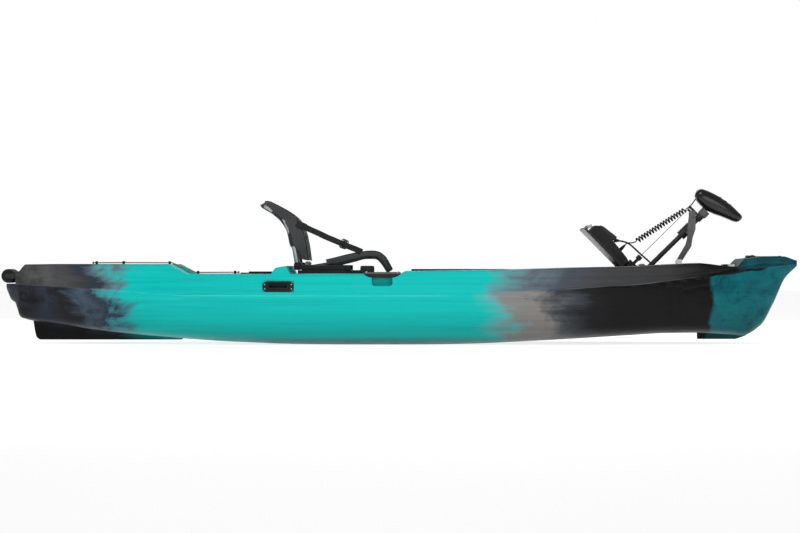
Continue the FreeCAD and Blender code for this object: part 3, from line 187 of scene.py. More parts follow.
def woven(name, colour, pitch, light, roughness=0.85, sheen=0.35):
    """Woven cloth: two crossed sets of threads, sheen and a little fading."""
    paint = Paint(name, roughness, sheen=sheen)
    x, y, z = paint.axes()
    slope = paint.math("ADD", x, z)
    warp = paint.math("SINE", paint.math("MULTIPLY", y, math.tau / pitch))
    weft = paint.math("SINE", paint.math("MULTIPLY", slope, math.tau / pitch))
    height = paint.fit(paint.math("MULTIPLY", warp, weft), 0.5, 0.5)
    tone = paint.ramp(height, [(0.1, [c * 0.55 for c in colour]), (0.9, light)])
    worn = paint.ramp(paint.noise(7, 4), [(0.3, 0.75), (0.75, (1.15, 1.15, 1.12))])
    paint.colour(paint.mix(1.0, tone, worn, "MULTIPLY"))
    paint.bump(height, 0.6, pitch * 0.35)
    return paint.material


def crease_height(paint, x):
    """The height of the moulded crease along the side, which rises towards both ends."""
    aft = paint.math("MAXIMUM", paint.fit(x, -0.066, -0.0726), 0.0)
    fore = paint.math("MAXIMUM", paint.fit(x, 0.062, -0.0186), 0.0)
    bow = paint.math("MAXIMUM", paint.fit(x, 0.060, -0.072), 0.0)
    return paint.math("ADD", paint.math("ADD", aft, fore), paint.math("ADD", bow, 0.25))


def hull_paint():
    """Rotomoulded polyethylene whose colours run into one another along the boat."""
    paint = Paint("hull_polyethylene", 0.36)
    paint.set("Specular IOR Level", 0.13)
    x, _, z = paint.axes()
    # Wisps and flow marks bend every colour edge.
    cloud = paint.noise(3.0, 8, (0.9, 1.2, 1.6), 0.64, 0.9)
    streak = paint.noise(4.6, 7, (0.3, 1, 3.2), 0.68, 0.6)
    warped = paint.math("ADD", x, paint.fit(cloud, 0.62, paint.fit(streak, 0.30, -0.46)))
    over = paint.math("SUBTRACT", z, crease_height(paint, x))
    upper = paint.ramp(paint.fit(over, 20.0, 0.5), [(0.42, 0.0), (0.58, 1.0)])

    def bands(lean, tones):
        """Tones at places along the boat, each shifted with height by the (height, shift) pairs of lean."""
        shift = paint.ramp(z, [(height, amount + 0.5) for height, amount in lean])
        along = paint.math("ADD", warped, paint.math("SUBTRACT", shift, 0.5))
        span = 4.2
        return paint.ramp(paint.fit(along, 1 / span, 0.5), [(at / span + 0.5, tone) for at, tone in tones])

    soot, navy, blue = (0.011, 0.011, 0.013), (0.024, 0.033, 0.052), (0.060, 0.090, 0.130)
    haze, teal, mint = (0.045, 0.21, 0.25), (0.0, 0.49, 0.455), (0.10, 0.42, 0.42)
    grey, dim, slate = (0.235, 0.225, 0.215), (0.115, 0.115, 0.120), (0.045, 0.052, 0.062)
    black = (0.0055, 0.0055, 0.006)
    lower_tone = bands([(0.0, -0.12), (0.10, -0.09), (0.17, -0.03), (0.26, 0.04)], [
        (-1.98, soot), (-1.84, navy), (-1.72, soot), (-1.63, blue), (-1.55, navy), (-1.50, haze),
        (-1.41, teal), (0.36, teal), (0.46, mint), (0.56, grey), (0.66, grey), (0.74, dim), (0.83, slate),
        (0.95, soot), (1.10, black),
    ])
    upper_tone = bands([(0.24, 0.06), (0.30, 0.0), (0.40, -0.04)], [
        (-2.0, (0.030, 0.030, 0.031)), (-1.86, (0.095, 0.095, 0.097)), (-1.68, (0.050, 0.050, 0.054)),
        (-1.60, navy), (-1.53, (0.10, 0.17, 0.20)), (-1.43, teal), (0.46, teal), (0.56, (0.10, 0.30, 0.32)),
        (0.66, (0.11, 0.15, 0.18)), (0.80, (0.060, 0.076, 0.098)), (1.0, (0.050, 0.052, 0.055)),
        (1.35, (0.040, 0.040, 0.042)), (1.56, black),
    ])
    body = paint.mix(upper, lower_tone, upper_tone)
    # The bow is dark teal. Its edge is crisp, and stands further forward above the crease.
    fray = paint.fit(paint.noise(14, 7, (1, 1, 0.6)), 0.09, -0.045)
    edge = paint.math("SUBTRACT", paint.math("ADD", x, fray), paint.math("MULTIPLY", upper, 0.145))
    is_bow = paint.ramp(paint.fit(edge, 10.0, -15.35), [(0.42, 0.0), (0.62, 1.0)])
    blotch = paint.noise(6.5, 8, (1, 1, 1.3), 0.72, 0.7)
    low_bow = paint.ramp(blotch, [(0.36, (0.002, 0.055, 0.070)), (0.48, (0.002, 0.122, 0.148)),
                                  (0.62, (0.004, 0.155, 0.170))])
    high_bow = paint.ramp(blotch, [(0.38, (0.002, 0.035, 0.048)), (0.62, (0.003, 0.085, 0.105))])
    body = paint.mix(is_bow, body, paint.mix(upper, low_bow, high_bow))
    # Long horizontal flow marks, and a painted highlight: a pale line along the crease, broken up by noise.
    flow = paint.noise(8, 6, (0.10, 1, 6.0), 0.66)
    marks = paint.ramp(flow, [(0.30, (0.80, 0.84, 0.84)), (0.5, 1.0), (0.70, (1.16, 1.10, 1.08))])
    body = paint.mix(1.0, body, marks, "MULTIPLY")
    line = paint.ramp(paint.fit(over, 40.0, 0.5), [(0.38, 0.0), (0.46, 0.5), (0.50, 1.0), (0.56, 0.0)])
    broken_highlight = paint.ramp(paint.noise(5, 5, (0.6, 1, 1)), [(0.42, 0.0), (0.60, 0.30)])
    body = paint.mix(paint.math("MULTIPLY", line, broken_highlight), body, (0.55, 0.62, 0.62))
    # Painted shade in the groove: a dark ragged line runs from the bow along the crease.
    ragged = paint.math("ADD", over, paint.math("MULTIPLY", fray, 0.25))
    groove_shade = paint.ramp(paint.fit(ragged, 30.0, 0.5), [(0.22, 0.0), (0.36, 1.0), (0.60, 1.0), (0.72, 0.0)])
    far = paint.ramp(paint.fit(x, 2.0, -2.8), [(0.0, 0.0), (0.4, 1.0), (0.92, 1.0), (1.0, 0.0)])
    body = paint.mix(paint.math("MULTIPLY", groove_shade, far), body, black)
    # Painted shade towards the ground: the colour darkens towards the bottom, nearly to black at the keel and
    # the ground edge.
    skeg = paint.math("MAXIMUM", paint.fit(x, -0.11, -0.13), 0.0)
    ground_shade = paint.ramp(paint.math("SUBTRACT", z, skeg),
                        [(0.0, 0.06), (0.016, 0.22), (0.045, 0.56), (0.13, 0.80), (0.24, 1.0)])
    paint.colour(paint.mix(1.0, body, ground_shade, "MULTIPLY"))
    paint.rough(paint.noise(22, 4, (0.6, 1, 1.6)), [(0.3, 0.30), (0.7, 0.46)])
    grain = paint.math("MULTIPLY", paint.noise(520, 3), 0.25)
    paint.bump(paint.math("ADD", grain, paint.noise(16, 3, (0.4, 1, 1.5))), 0.22, 0.0012)
    return paint.material


MAT = {
    "hull": hull_paint(),
    "black": moulded("black_moulded", (0.007, 0.007, 0.008), 0.40),
    "grey": moulded("grey_moulded", (0.10, 0.095, 0.097), 0.48),
    "dark_grey": moulded("dark_grey_moulded", (0.022, 0.022, 0.024), 0.45),
    "gloss": moulded("gloss_black", (0.005, 0.005, 0.006), 0.22, 0.2, 1500, 0.03, 0.35),
    "rubber": moulded("rubber", (0.010, 0.010, 0.011), 0.7, 0.3, 700, 0.4),
    "case": moulded("battery_case", (0.035, 0.036, 0.04), 0.5),
    "latch": moulded("pale_latch", (0.62, 0.61, 0.56), 0.3, 0.08, 900, 0.05, 0.3),
    "circuit": moulded("circuit", (0.01, 0.10, 0.03), 0.4, 0.5, 200, 0.3),
    "aluminium": metal("drawn_aluminium", (0.42, 0.42, 0.43), 0.34, (0.3, 1, 1)),
    "steel": metal("stainless", (0.55, 0.55, 0.56), 0.28, (1, 0.3, 1)),
    "painted": moulded("painted_metal", (0.009, 0.009, 0.010), 0.36, 0.2, 600, 0.2, 0.1),
    "mesh": woven("seat_mesh", (0.012, 0.012, 0.013), 0.0052, (0.034, 0.035, 0.037)),
    "panel": woven("seat_panel", (0.040, 0.041, 0.043), 0.0040, (0.085, 0.086, 0.090)),
    "webbing": woven("webbing", (0.010, 0.010, 0.011), 0.0030, (0.028, 0.028, 0.030), 0.7, 0.1),
    "beige": woven("hem_cloth", (0.40, 0.36, 0.29), 0.0035, (0.62, 0.58, 0.50)),
    "bungee": woven("shock_cord", (0.50, 0.075, 0.02), 0.0022, (0.85, 0.19, 0.05), 0.6, 0.2),
    "cord": moulded("cord_sheath", (0.006, 0.006, 0.007), 0.38, 0.2, 900, 0.1),
}

CAD_FINISH = {
    "hull": "hull",
    "black": "drain_plug side_handle_plates pad_eyes battery_box battery_lid hatch_lid hatch_hinge "
             "seat_beams seat_knob_right seat_knob_left strap_buckles control_housing steering_housing "
             "motor_nose propeller cord_clip cable_glands deck_gland cord_bracket",
    "dark_grey": "stern_handle_bracket housing_cover motor_shaft depth_collar",
    "rubber": "stern_grip side_handle_grip_right side_handle_grip_left hatch_gasket",
    "webbing": "bow_strap seat_straps",
    "grey": "gunwale_bars hatch_latch neck_clamp support_arm",
    "painted": "gear_tracks seat_rails seat_base_frame seat_pivots tilt_bracket motor_plate motor_pod",
    "steel": "deck_fasteners tilt_pin armature arm_bracket",
    "bungee": "tank_bungee",
    "case": "battery",
    "mesh": "seat_base_pad seat_back_pad",
    "aluminium": "seat_back_frame",
    "beige": "seat_hem_roll",
    "latch": "release_latch",
    "circuit": "control_board",
    "gloss": "head_lower head_upper",
    "cord": "coil_cord cord_leads power_cable pull_cord",
}
for finish, names in CAD_FINISH.items():
    for node_name in names.split():
        for holder in NODES[node_name].material_slots:
            holder.material = MAT[finish]

# ---------------------------------------------------------------- mesh helpers


def placed(name, data):
    """A new object in the scene."""
    thing = bpy.data.objects.new(name, data)
    bpy.context.scene.collection.objects.link(thing)
    return thing


def applied(thing):
    """A mesh of an object with its modifiers applied."""
    graph = bpy.context.evaluated_depsgraph_get()
    return bpy.data.meshes.new_from_object(thing.evaluated_get(graph))


def shade(mesh, crease):
    """Smooth shading, except at edges sharper than crease."""
    mesh.shade_smooth()
    mesh.set_sharp_from_angle(angle=math.radians(crease))


def make(name, points, faces, body, *finishes, crease=35):
    """A mesh piece that rides on a body, smooth except at edges sharper than crease."""
    mesh = bpy.data.meshes.new(name)
    mesh.from_pydata([tuple(p) for p in points], [], faces)
    helper = bmesh.new()
    helper.from_mesh(mesh)
    bmesh.ops.recalc_face_normals(helper, faces=helper.faces)
    helper.to_mesh(mesh)
    helper.free()
    for finish in finishes:
        mesh.materials.append(MAT[finish])
    thing = placed(name, mesh)
    shade(mesh, crease)
    if body:
        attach(thing, body)
    return thing


def loft(rings):
    """Points and faces of a surface through closed rings of equal length, closed at both ends."""
    count = len(rings[0])
    points = [p for ring in rings for p in ring]
    faces = []
    edges = [(n, (n + 1) % count) for n in range(count)]
    last = len(points) - count
    for low in range(0, last, count):
        high = low + count
        faces += [(low + a, low + b, high + b, high + a) for a, b in edges]
    for low, ring in ((0, rings[0]), (last, rings[-1])):
        faces += [(low + a, low + b, len(points)) for a, b in edges]
        points.append(sum((Vector(p) for p in ring), Vector()) / count)
    return points, faces


def squarish(power, count):
    """Points round a shape of half width 1: a circle at a power of 2, and squarer at a higher one."""
    points = []
    for step in range(count):
        c, s = math.cos(math.tau * step / count), math.sin(math.tau * step / count)
        reach = (abs(c) ** power + abs(s) ** power) ** (-1 / power)
        points.append((reach * c, reach * s))
    return points


def circle(centre, side, other, size, count):
    """Points round a centre, in the plane of two directions."""
    return [centre + side * (size * c) + other * (size * s) for c, s in squarish(2, count)]


def turned(name, place, profile, count, body, *finishes):
    """A round piece from (radius, height) pairs in millimetres, set in place by a matrix."""
    rings = []
    for radius, height in profile:
        flat = circle(Vector((0, 0, height)), Vector((1, 0, 0)), Vector((0, 1, 0)), radius, count)
        rings.append([place @ mm(*p) for p in flat])
    return make(name, *loft(rings), body, *finishes)


def around(items, number):
    """The items before and after one, or the item itself at an end."""
    return items[max(number - 1, 0)], items[min(number + 1, len(items) - 1)]


def tube(name, points, radius, body, finish, sides=12):
    """A round bar through points, closed at its ends."""
    points = [Vector(p) for p in points]
    rings = []
    side = None
    for number, point in enumerate(points):
        before, after = around(points, number)
        way = (after - before).normalized()
        if side is None:
            side = way.orthogonal().normalized()
        side = (side - way * side.dot(way)).normalized()
        other = way.cross(side)
        size = radius[number] if hasattr(radius, "__len__") else radius
        rings.append(circle(point, side, other, size, sides))
    return make(name, *loft(rings), body, finish)


def spline_path(points):
    """The smooth line that a cord's listed points give."""
    curve = bpy.data.curves.new("route", "CURVE")
    curve.dimensions = "3D"
    curve.resolution_u = 12
    spline = curve.splines.new("NURBS")
    spline.points.add(len(points) - 1)
    for target, point in zip(spline.points, points):
        target.co = tuple(point) + (1,)
    spline.order_u = 3
    spline.use_endpoint_u = True
    holder = bpy.data.objects.new("route", curve)
    line = bpy.data.meshes.new_from_object(holder)
    path = [v.co.copy() for v in line.vertices]
    bpy.data.meshes.remove(line)
    bpy.data.objects.remove(holder)
    bpy.data.curves.remove(curve)
    return path


def length_of(path):
    return sum((b - a).length for a, b in zip(path, path[1:]))


def solve_curve(points, count):
    """A smooth open line through points, by Catmull and Rom's rule."""
    points = [Vector(p) for p in points]
    slopes = []
    for number in range(len(points)):
        before, after = around(points, number)
        slopes.append((after - before) / 2)
    line = []
    for ends in zip(points, points[1:], slopes, slopes[1:]):
        line += [cubic(step / count, *ends) for step in range(count)]
    return line + [points[-1]]


def smoothstep(low, high, amount):
    share = min(1.0, max(0.0, (amount - low) / (high - low)))
    return share * share * (3 - 2 * share)


def within(amount, rise_from, rise_to, fall_from, fall_to):
    """1 between two places and 0 outside them, with soft ends."""
    return smoothstep(rise_from, rise_to, amount) * (1 - smoothstep(fall_from, fall_to, amount))


def ridge(amount, middle, half_width):
    """1 at the middle, falling straight to 0 on both sides."""
    return max(0.0, 1 - abs(amount - middle) / half_width)


def cubic(t, start, end, start_slope, end_slope):
    """The cubic that leaves start and reaches end with the given slopes, at a share t of the way."""
    return ((2 * t ** 3 - 3 * t * t + 1) * start + (t ** 3 - 2 * t * t + t) * start_slope
            + (3 * t * t - 2 * t ** 3) * end + (t ** 3 - t * t) * end_slope)


def follow(table, x):
    """The straight-line value of a table of (x, value) at x, held at its ends."""
    if x <= table[0][0]:
        return table[0][1]
    for (x0, v0), (x1, v1) in zip(table, table[1:]):
        if x <= x1:
            return v0 + (v1 - v0) * (x - x0) / (x1 - x0)
    return table[-1][1]


# ---------------------------------------------------------------- hull

# Distance forward, keel height, sponson height, half beam, height of the widest point, sheer.
HULL_LINES = [
    (-2034, 284, 280, 60, 300, 371), (-2008, 232, 226, 96, 288, 371), (-1984, 214, 208, 122, 286, 371),
    (-1958, 150, 138, 150, 285, 373), (-1925, 138, 122, 172, 280, 408), (-1760, 120, 101, 236, 275, 410),
    (-1550, 92, 70, 306, 272, 410), (-1350, 70, 50, 362, 270, 410), (-1165, 55, 34, 402, 268, 410),
    (-1120, 52, 30, 411, 268, 385), (-1075, 50, 27, 419, 268, 360), (-900, 42, 17, 443, 268, 360),
    (-650, 32, 6, 463, 268, 360), (-626, 31, 5, 464, 268, 391), (-570, 29, 4, 467, 268, 400),
    (-552, 29, 3, 468, 268, 361), (-200, 26, 0, 470, 268, 361), (5, 26, 0, 470, 268, 361),
    (32, 26, 0, 470, 268, 374), (350, 30, 4, 464, 268, 379), (650, 42, 17, 449, 270, 384),
    (900, 55, 30, 425, 273, 392), (1150, 68, 45, 386, 278, 397), (1380, 78, 57, 334, 286, 408),
    (1530, 74, 58, 288, 294, 415), (1682, 59, 51, 230, 304, 398), (1724, 53, 48, 212, 308, 398),
    (1760, 48, 44, 196, 312, 436), (1860, 98, 95, 148, 330, 449), (1930, 212, 210, 108, 352, 451),
    (1990, 335, 334, 72, 392, 449), (2057, 400, 399, 20, 412, 428),
]


def gentle_slopes(column):
    """Slopes that let a cubic pass through a column of the lines without overshoot."""
    xs = [row[0] for row in HULL_LINES]
    vs = [row[column] for row in HULL_LINES]
    runs = [(v1 - v0) / (x1 - x0) for x0, x1, v0, v1 in zip(xs, xs[1:], vs, vs[1:])]
    slopes = [runs[0]]
    for before, after in zip(runs, runs[1:]):
        slopes.append(0.0 if before * after <= 0 else 2 * before * after / (before + after))
    return slopes + [runs[-1]]


SLOPES = [gentle_slopes(column) for column in range(1, 5)]


def hull_row(x):
    """Keel, sponson, half beam, widest height and sheer at one distance forward, in millimetres."""
    number = 0
    while number < len(HULL_LINES) - 2 and x > HULL_LINES[number + 1][0]:
        number += 1
    aft, fore = HULL_LINES[number], HULL_LINES[number + 1]
    run = fore[0] - aft[0]
    t = (x - aft[0]) / run
    row = []
    for column, slopes in enumerate(SLOPES, 1):
        row.append(cubic(t, aft[column], fore[column], slopes[number] * run, slopes[number + 1] * run))
    # The sheer steps down at the cockpit and the bow with a soft bend, and is straight elsewhere.
    climb = fore[5] - aft[5]
    row.append(aft[5] + climb * (smoothstep(-0.15, 1.15, t) if abs(climb) > 9 else t))
    return row


def hermite(p0, p1, m0, m1, count):
    """Points of a cubic from p0 up to but not including p1."""
    return [tuple(cubic(step / count, *ends) for ends in zip(p0, p1, m0, m1)) for step in range(count)]


def half_section(x):
    """(side, height) pairs from the keel round the bilge and up to the deck's middle."""
    keel, sponson, beam, widest, sheer = hull_row(x)
    rise = sheer - widest
    control = [(0, keel), (0.30 * beam, keel - 0.25 * (keel - sponson)), (0.55 * beam, sponson),
               (0.86 * beam, sponson + 0.20 * (widest - sponson)), (beam, widest)]
    tangents = [(0.32 * beam, 0)]
    for before, after in zip(control, control[2:]):
        tangents.append(((after[0] - before[0]) / 2, (after[1] - before[1]) / 2))
    tangents.append((0, 0.55 * (widest - sponson)))
    line = []
    for number, count in enumerate((6, 6, 9, 12)):
        line += hermite(control[number], control[number + 1], tangents[number], tangents[number + 1], count)
    flank = (0.98 * beam, widest + 0.5 * rise)
    start = (0.985 * beam, widest + 0.9 * rise)
    corner = (0.985 * beam, sheer)
    line += hermite((beam, widest), flank, (0, 0.5 * rise), (0, 0.45 * rise), 12)
    line += hermite(flank, start, (0, 0.45 * rise), (0, 0.4 * rise), 8)
    # The deck's edge is rounded.
    end = (corner[0] - min(14, 0.5 * beam), sheer)
    for step in range(6):
        t = step / 6
        line.append(tuple((1 - t) ** 2 * a + 2 * t * (1 - t) * b + t * t * c
                          for a, b, c in zip(start, corner, end)))
    line += [(end[0] * (1 - step / 8), sheer) for step in range(8)]
    return line + [(0, sheer)]


STERN_CHINE = [(-1930, 124), (-1759, 104), (-1546, 72), (-1350, 54), (-1150, 36), (-900, 20)]
STERN_CREASE = [(-1720, 281), (-1479, 262), (-1282, 249), (-1060, 240)]
FORE_CREASE = [(440, 252), (690, 275), (861, 291), (1147, 298), (1349, 317), (1521, 337), (1656, 358),
               (1790, 384)]
BOW_GROOVE = [(1480, 341), (1620, 365), (1739, 389), (1868, 409), (2050, 411)]


def moulding(x, z):
    """How far the side's moulded lines are pressed in, in millimetres."""
    # The long crease aft and the undercut forward: the side steps in below them, then comes out again.
    below = z - follow(STERN_CREASE, x)
    depth = 8 * within(x, -1745, -1690, -1230, -1040) * within(below, -130, -20, -5, 1)
    below = z - follow(FORE_CREASE, x)
    depth += 13 * within(x, 430, 760, 1700, 1790) * within(below, -190, -30, -5, 1)
    # The groove that runs out to the bow's tip.
    depth += 8 * within(x, 1480, 1560, 1960, 2020) * ridge(z, follow(BOW_GROOVE, x), 8) ** 0.7
    # Two upright ribs and three short creases aft of the bow.
    for low, high in ((1352, 1378), (1402, 1428)):
        depth += 8 * within(x, low - 4, low + 3, high - 3, high + 4) * within(z, 125, 150, 292, 305)
    for aft_z, fore_z in ((275, 309), (196, 221), (139, 164)):
        crease = aft_z + (fore_z - aft_z) * (x - 1432) / 203
        depth += 6 * within(x, 1430, 1445, 1600, 1640) * ridge(z, crease, 9)
    # The recessed panel at the stern, the step down its fore edge and its two louvres.
    across = within(x, -1951, -1943, -1822, -1814)
    depth += 9 * across * within(z, 220, 228, 279, 286)
    depth += 4 * across * ridge(z, 252, 7)
    depth -= 5 * within(x, -1803, -1798, -1772, -1766) * within(z, 158, 175, 283, 292)
    # The chine above the stern fin.
    return depth + 5 * (1 - smoothstep(-1150, -920, x)) * ridge(z, follow(STERN_CHINE, x), 7)


def hull_skin():
    """The outside of the hull as one closed surface, with its moulded lines pressed in."""
    first, last = HULL_LINES[0][0], HULL_LINES[-1][0]
    places = sorted({round(first + (last - first) * n / 400, 3) for n in range(401)}
                    | {row[0] for row in HULL_LINES})
    rings = []
    for x in places:
        half = half_section(x)
        lip = hull_row(x)[4] - 3
        port = []
        for number, (y, z) in enumerate(half):
            near, far = around(half, number)
            dy, dz = far[0] - near[0], far[1] - near[1]
            size = math.hypot(dy, dz) or 1
            press = moulding(x, z) if y > 30 and z < lip else 0.0
            port.append((y - press * dz / size, z + press * dy / size))
        ring = [mm(x, y, z) for y, z in port]
        ring += [mm(x, -y, z) for y, z in port[-2:0:-1]]
        rings.append(ring)
    return make("hull_body", *loft(rings), None, "hull")


def rounded_outline(aft, fore, half, corner):
    """Points round a rectangle with round corners."""
    points = []
    for cx, cy, start in ((fore - corner, half - corner, 0), (aft + corner, half - corner, 90),
                          (aft + corner, corner - half, 180), (fore - corner, corner - half, 270)):
        for step in range(8):
            turn = math.radians(start + 90 * step / 7)
            points.append((cx + corner * math.cos(turn), cy + corner * math.sin(turn)))
    dense = []
    for a, b in zip(points, points[1:] + points[:1]):
        pieces = max(1, round(math.dist(a, b) / 24))
        for n in range(pieces):
            dense.append((a[0] + (b[0] - a[0]) * n / pieces, a[1] + (b[1] - a[1]) * n / pieces))
    return dense


def well(aft, fore, half, floor, corner, floor_round, flare=9):
    """A cutter for one well: a round floor edge, upright walls and a flared lip."""
    base = rounded_outline(aft, fore, half, corner)
    middle = (aft + fore) / 2

    def level(inset, height):
        ring = []
        for x, y in base:
            long = math.copysign(max(abs(x - middle) - inset, 0), x - middle)
            wide = math.copysign(max(abs(y) - inset, 0), y)
            ring.append(mm(middle + long, wide, height(x) if callable(height) else height))
        return ring

    rings = []
    for degrees in (0, 25, 50, 75, 90):
        turn = math.radians(degrees)
        rings.append(level(floor_round * (1 - math.sin(turn)), floor + floor_round * (1 - math.cos(turn))))
    for out, drop in ((0, flare), (0.13 * flare, 0.5 * flare), (0.5 * flare, 0.13 * flare), (flare, 0)):
        rings.append(level(-out, lambda x, d=drop: max(hull_row(x)[4], floor + floor_round + 2) - d))
    rings.append(level(-flare, 620))
    return make("cutter", *loft(rings), None)


def prism(outline, low_y, high_y, bevel=0.0):
    """A cutter or block: an outline in the side view, drawn from low_y to high_y."""
    points = [mm(x, low_y, z) for x, z in outline] + [mm(x, high_y, z) for x, z in outline]
    count = len(outline)
    faces = [tuple(range(count)), tuple(range(2 * count - 1, count - 1, -1))]
    faces += [(n, (n + 1) % count, count + (n + 1) % count, count + n) for n in range(count)]
    thing = make("cutter", points, faces, None)
    if bevel:
        helper = bmesh.new()
        helper.from_mesh(thing.data)
        bmesh.ops.bevel(helper, geom=helper.edges[:], offset=mm(bevel), segments=3, affect="EDGES",
                        profile=0.5, clamp_overlap=True)
        helper.to_mesh(thing.data)
        helper.free()
    return thing


def box(low, high, bevel=0.0):
    corners = [(low[0], low[2]), (high[0], low[2]), (high[0], high[2]), (low[0], high[2])]
    return prism(corners, low[1], high[1], bevel)


def side_box(side, aft, fore, inner, outer, low, high, bevel=0.0):
    """A box between two distances out from the middle line, on the side that is -1 or 1."""
    near, far = sorted((side * inner, side * outer))
    return box((aft, near, low), (fore, far, high), bevel)


def drum(radius, length, at, way):
    """A round cutter from a point along a direction."""
    turn = Vector((0, 0, 1)).rotation_difference(Vector(way)).to_matrix().to_4x4()
    return turned("cutter", Matrix.Translation(mm(*at)) @ turn, [(radius, 0), (radius, length)], 48, None)


def carve(target, tool, operation="DIFFERENCE"):
    """Cut or join a tool with the target and drop the tool."""
    change = target.modifiers.new("Carve", "BOOLEAN")
    change.operation = operation
    change.solver = "MANIFOLD"
    change.object = tool
    result = applied(target)
    target.modifiers.remove(change)
    target.data = result
    spare = tool.data
    bpy.data.objects.remove(tool)
    bpy.data.meshes.remove(spare)


HANDLE_X, HANDLE_Z = -612, 296


def hull_body():
    """The hull's skin with its fins joined on and its wells, slot and seats cut out."""
    body = hull_skin()
    stern_fin = [(-1905, 140), (-1893, 60), (-1885, 30), (-1868, 18), (-1130, 18), (-1080, 70), (-1080, 110),
                 (-1905, 160)]
    carve(body, prism(stern_fin, -14, 14, 5), "UNION")
    forefoot = [(1541, 90), (1541, 21), (1740, 21), (1790, 38), (1830, 66), (1845, 110), (1845, 140),
                (1541, 120)]
    carve(body, prism(forefoot, -17, 17, 6), "UNION")
    drive_slot = [(560, -75), (890, 250), (890, 262), (1232, 262), (1232, 215), (1312, 135), (1312, -75)]
    tools = [
        well(-1640, -612, 215, 190, 70, 14),  # tank well
        well(-556, 700, 262, 110, 60, 35),  # cockpit
        well(640, 1395, 205, 250, 60, 20),  # the motor unit's shelf
        well(1806, 1950, 56, 330, 40, 12, 3),  # bow hatch
        prism(drive_slot, -180, 180, 10),
        box((-2200, -300, 308), (-1978, 300, 608)),  # the open end under the stern grip
        drum(17, 100, (-1931, -158, 249), (0, -1, 0)),  # the drain plug's seat
        box((1790, -70, 440), (1978, 70, 540), 4),  # the hatch lid's seat
        box((1412, -92, 406), (1472, -22, 506), 3),  # the support arm's seat
    ]
    for x, y in ((-1300, 150), (-1300, -150), (-100, 180), (-100, -180)):
        tools.append(drum(17.5, 700, (x, y, -100), (0, 0, 1)))  # scuppers
    for side in (-1, 1):
        for half_long, half_high, inner, bevel in ((80, 28, 455, 4), (58, 17, 425, 8)):
            tools.append(side_box(side, HANDLE_X - half_long, HANDLE_X + half_long, inner, 600,
                                  HANDLE_Z - half_high, HANDLE_Z + half_high, bevel))
        tools += [
            side_box(side, -142, -38, 424, 600, 298, 700, 16),  # finger scoop
            side_box(side, 60, 560, 318, 352, 372, 572),  # gear track
            side_box(side, 1682, 1724, 116, 152, 395, 595),  # bow strap's anchor
        ]
    for tool in tools:
        carve(body, tool)
    shade(body.data, 30)
    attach(body, "hull")
    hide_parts("hull")


def plate(name, outline, side, inner, outer, round_off):
    """A dark plate with rounded edges on one side; outline holds (distance, height) pairs."""
    low_y, high_y = sorted((side * inner, side * outer))
    middle_x = sum(x for x, _ in outline) / len(outline)
    middle_z = sum(z for _, z in outline) / len(outline)
    reach = max(abs(x - middle_x) for x, _ in outline)
    rings = []
    for y, inset in ((low_y, 1.0), (low_y + 0.3 * round_off, 0.3), (low_y + round_off, 0.0),
                     (high_y - round_off, 0.0), (high_y - 0.3 * round_off, 0.3), (high_y, 1.0)):
        share = 1 - inset * round_off / reach
        rings.append([mm(middle_x + (x - middle_x) * share, y, middle_z + (z - middle_z) * share)
                      for x, z in outline])
    make(name, *loft(rings), "hull", "black")


def side_trims():
    """The dark tray behind each side handle and the dark cheek over each finger scoop."""
    corners = ((-1, -0.5), (-0.9, -1), (0.9, -1), (1, -0.5), (1, 0.5), (0.9, 1), (-0.9, 1), (-1, 0.5))
    tray = [(HANDLE_X + 57 * c, HANDLE_Z + 16 * d) for c, d in corners]
    cheek = [(-183, 368), (-181, 357), (-171, 348), (-154, 342), (-132, 339), (-48, 339), (-26, 342),
             (-9, 348), (1, 357), (3, 368)]
    for side, word in ((-1, "right"), (1, "left")):
        plate("handle_tray_" + word, tray, side, 424.5, 431, 1.2)
        plate("scoop_cheek_" + word, cheek, side, 450, 463.4, 3.0)


hull_body()
side_trims()

# ---------------------------------------------------------------- seat


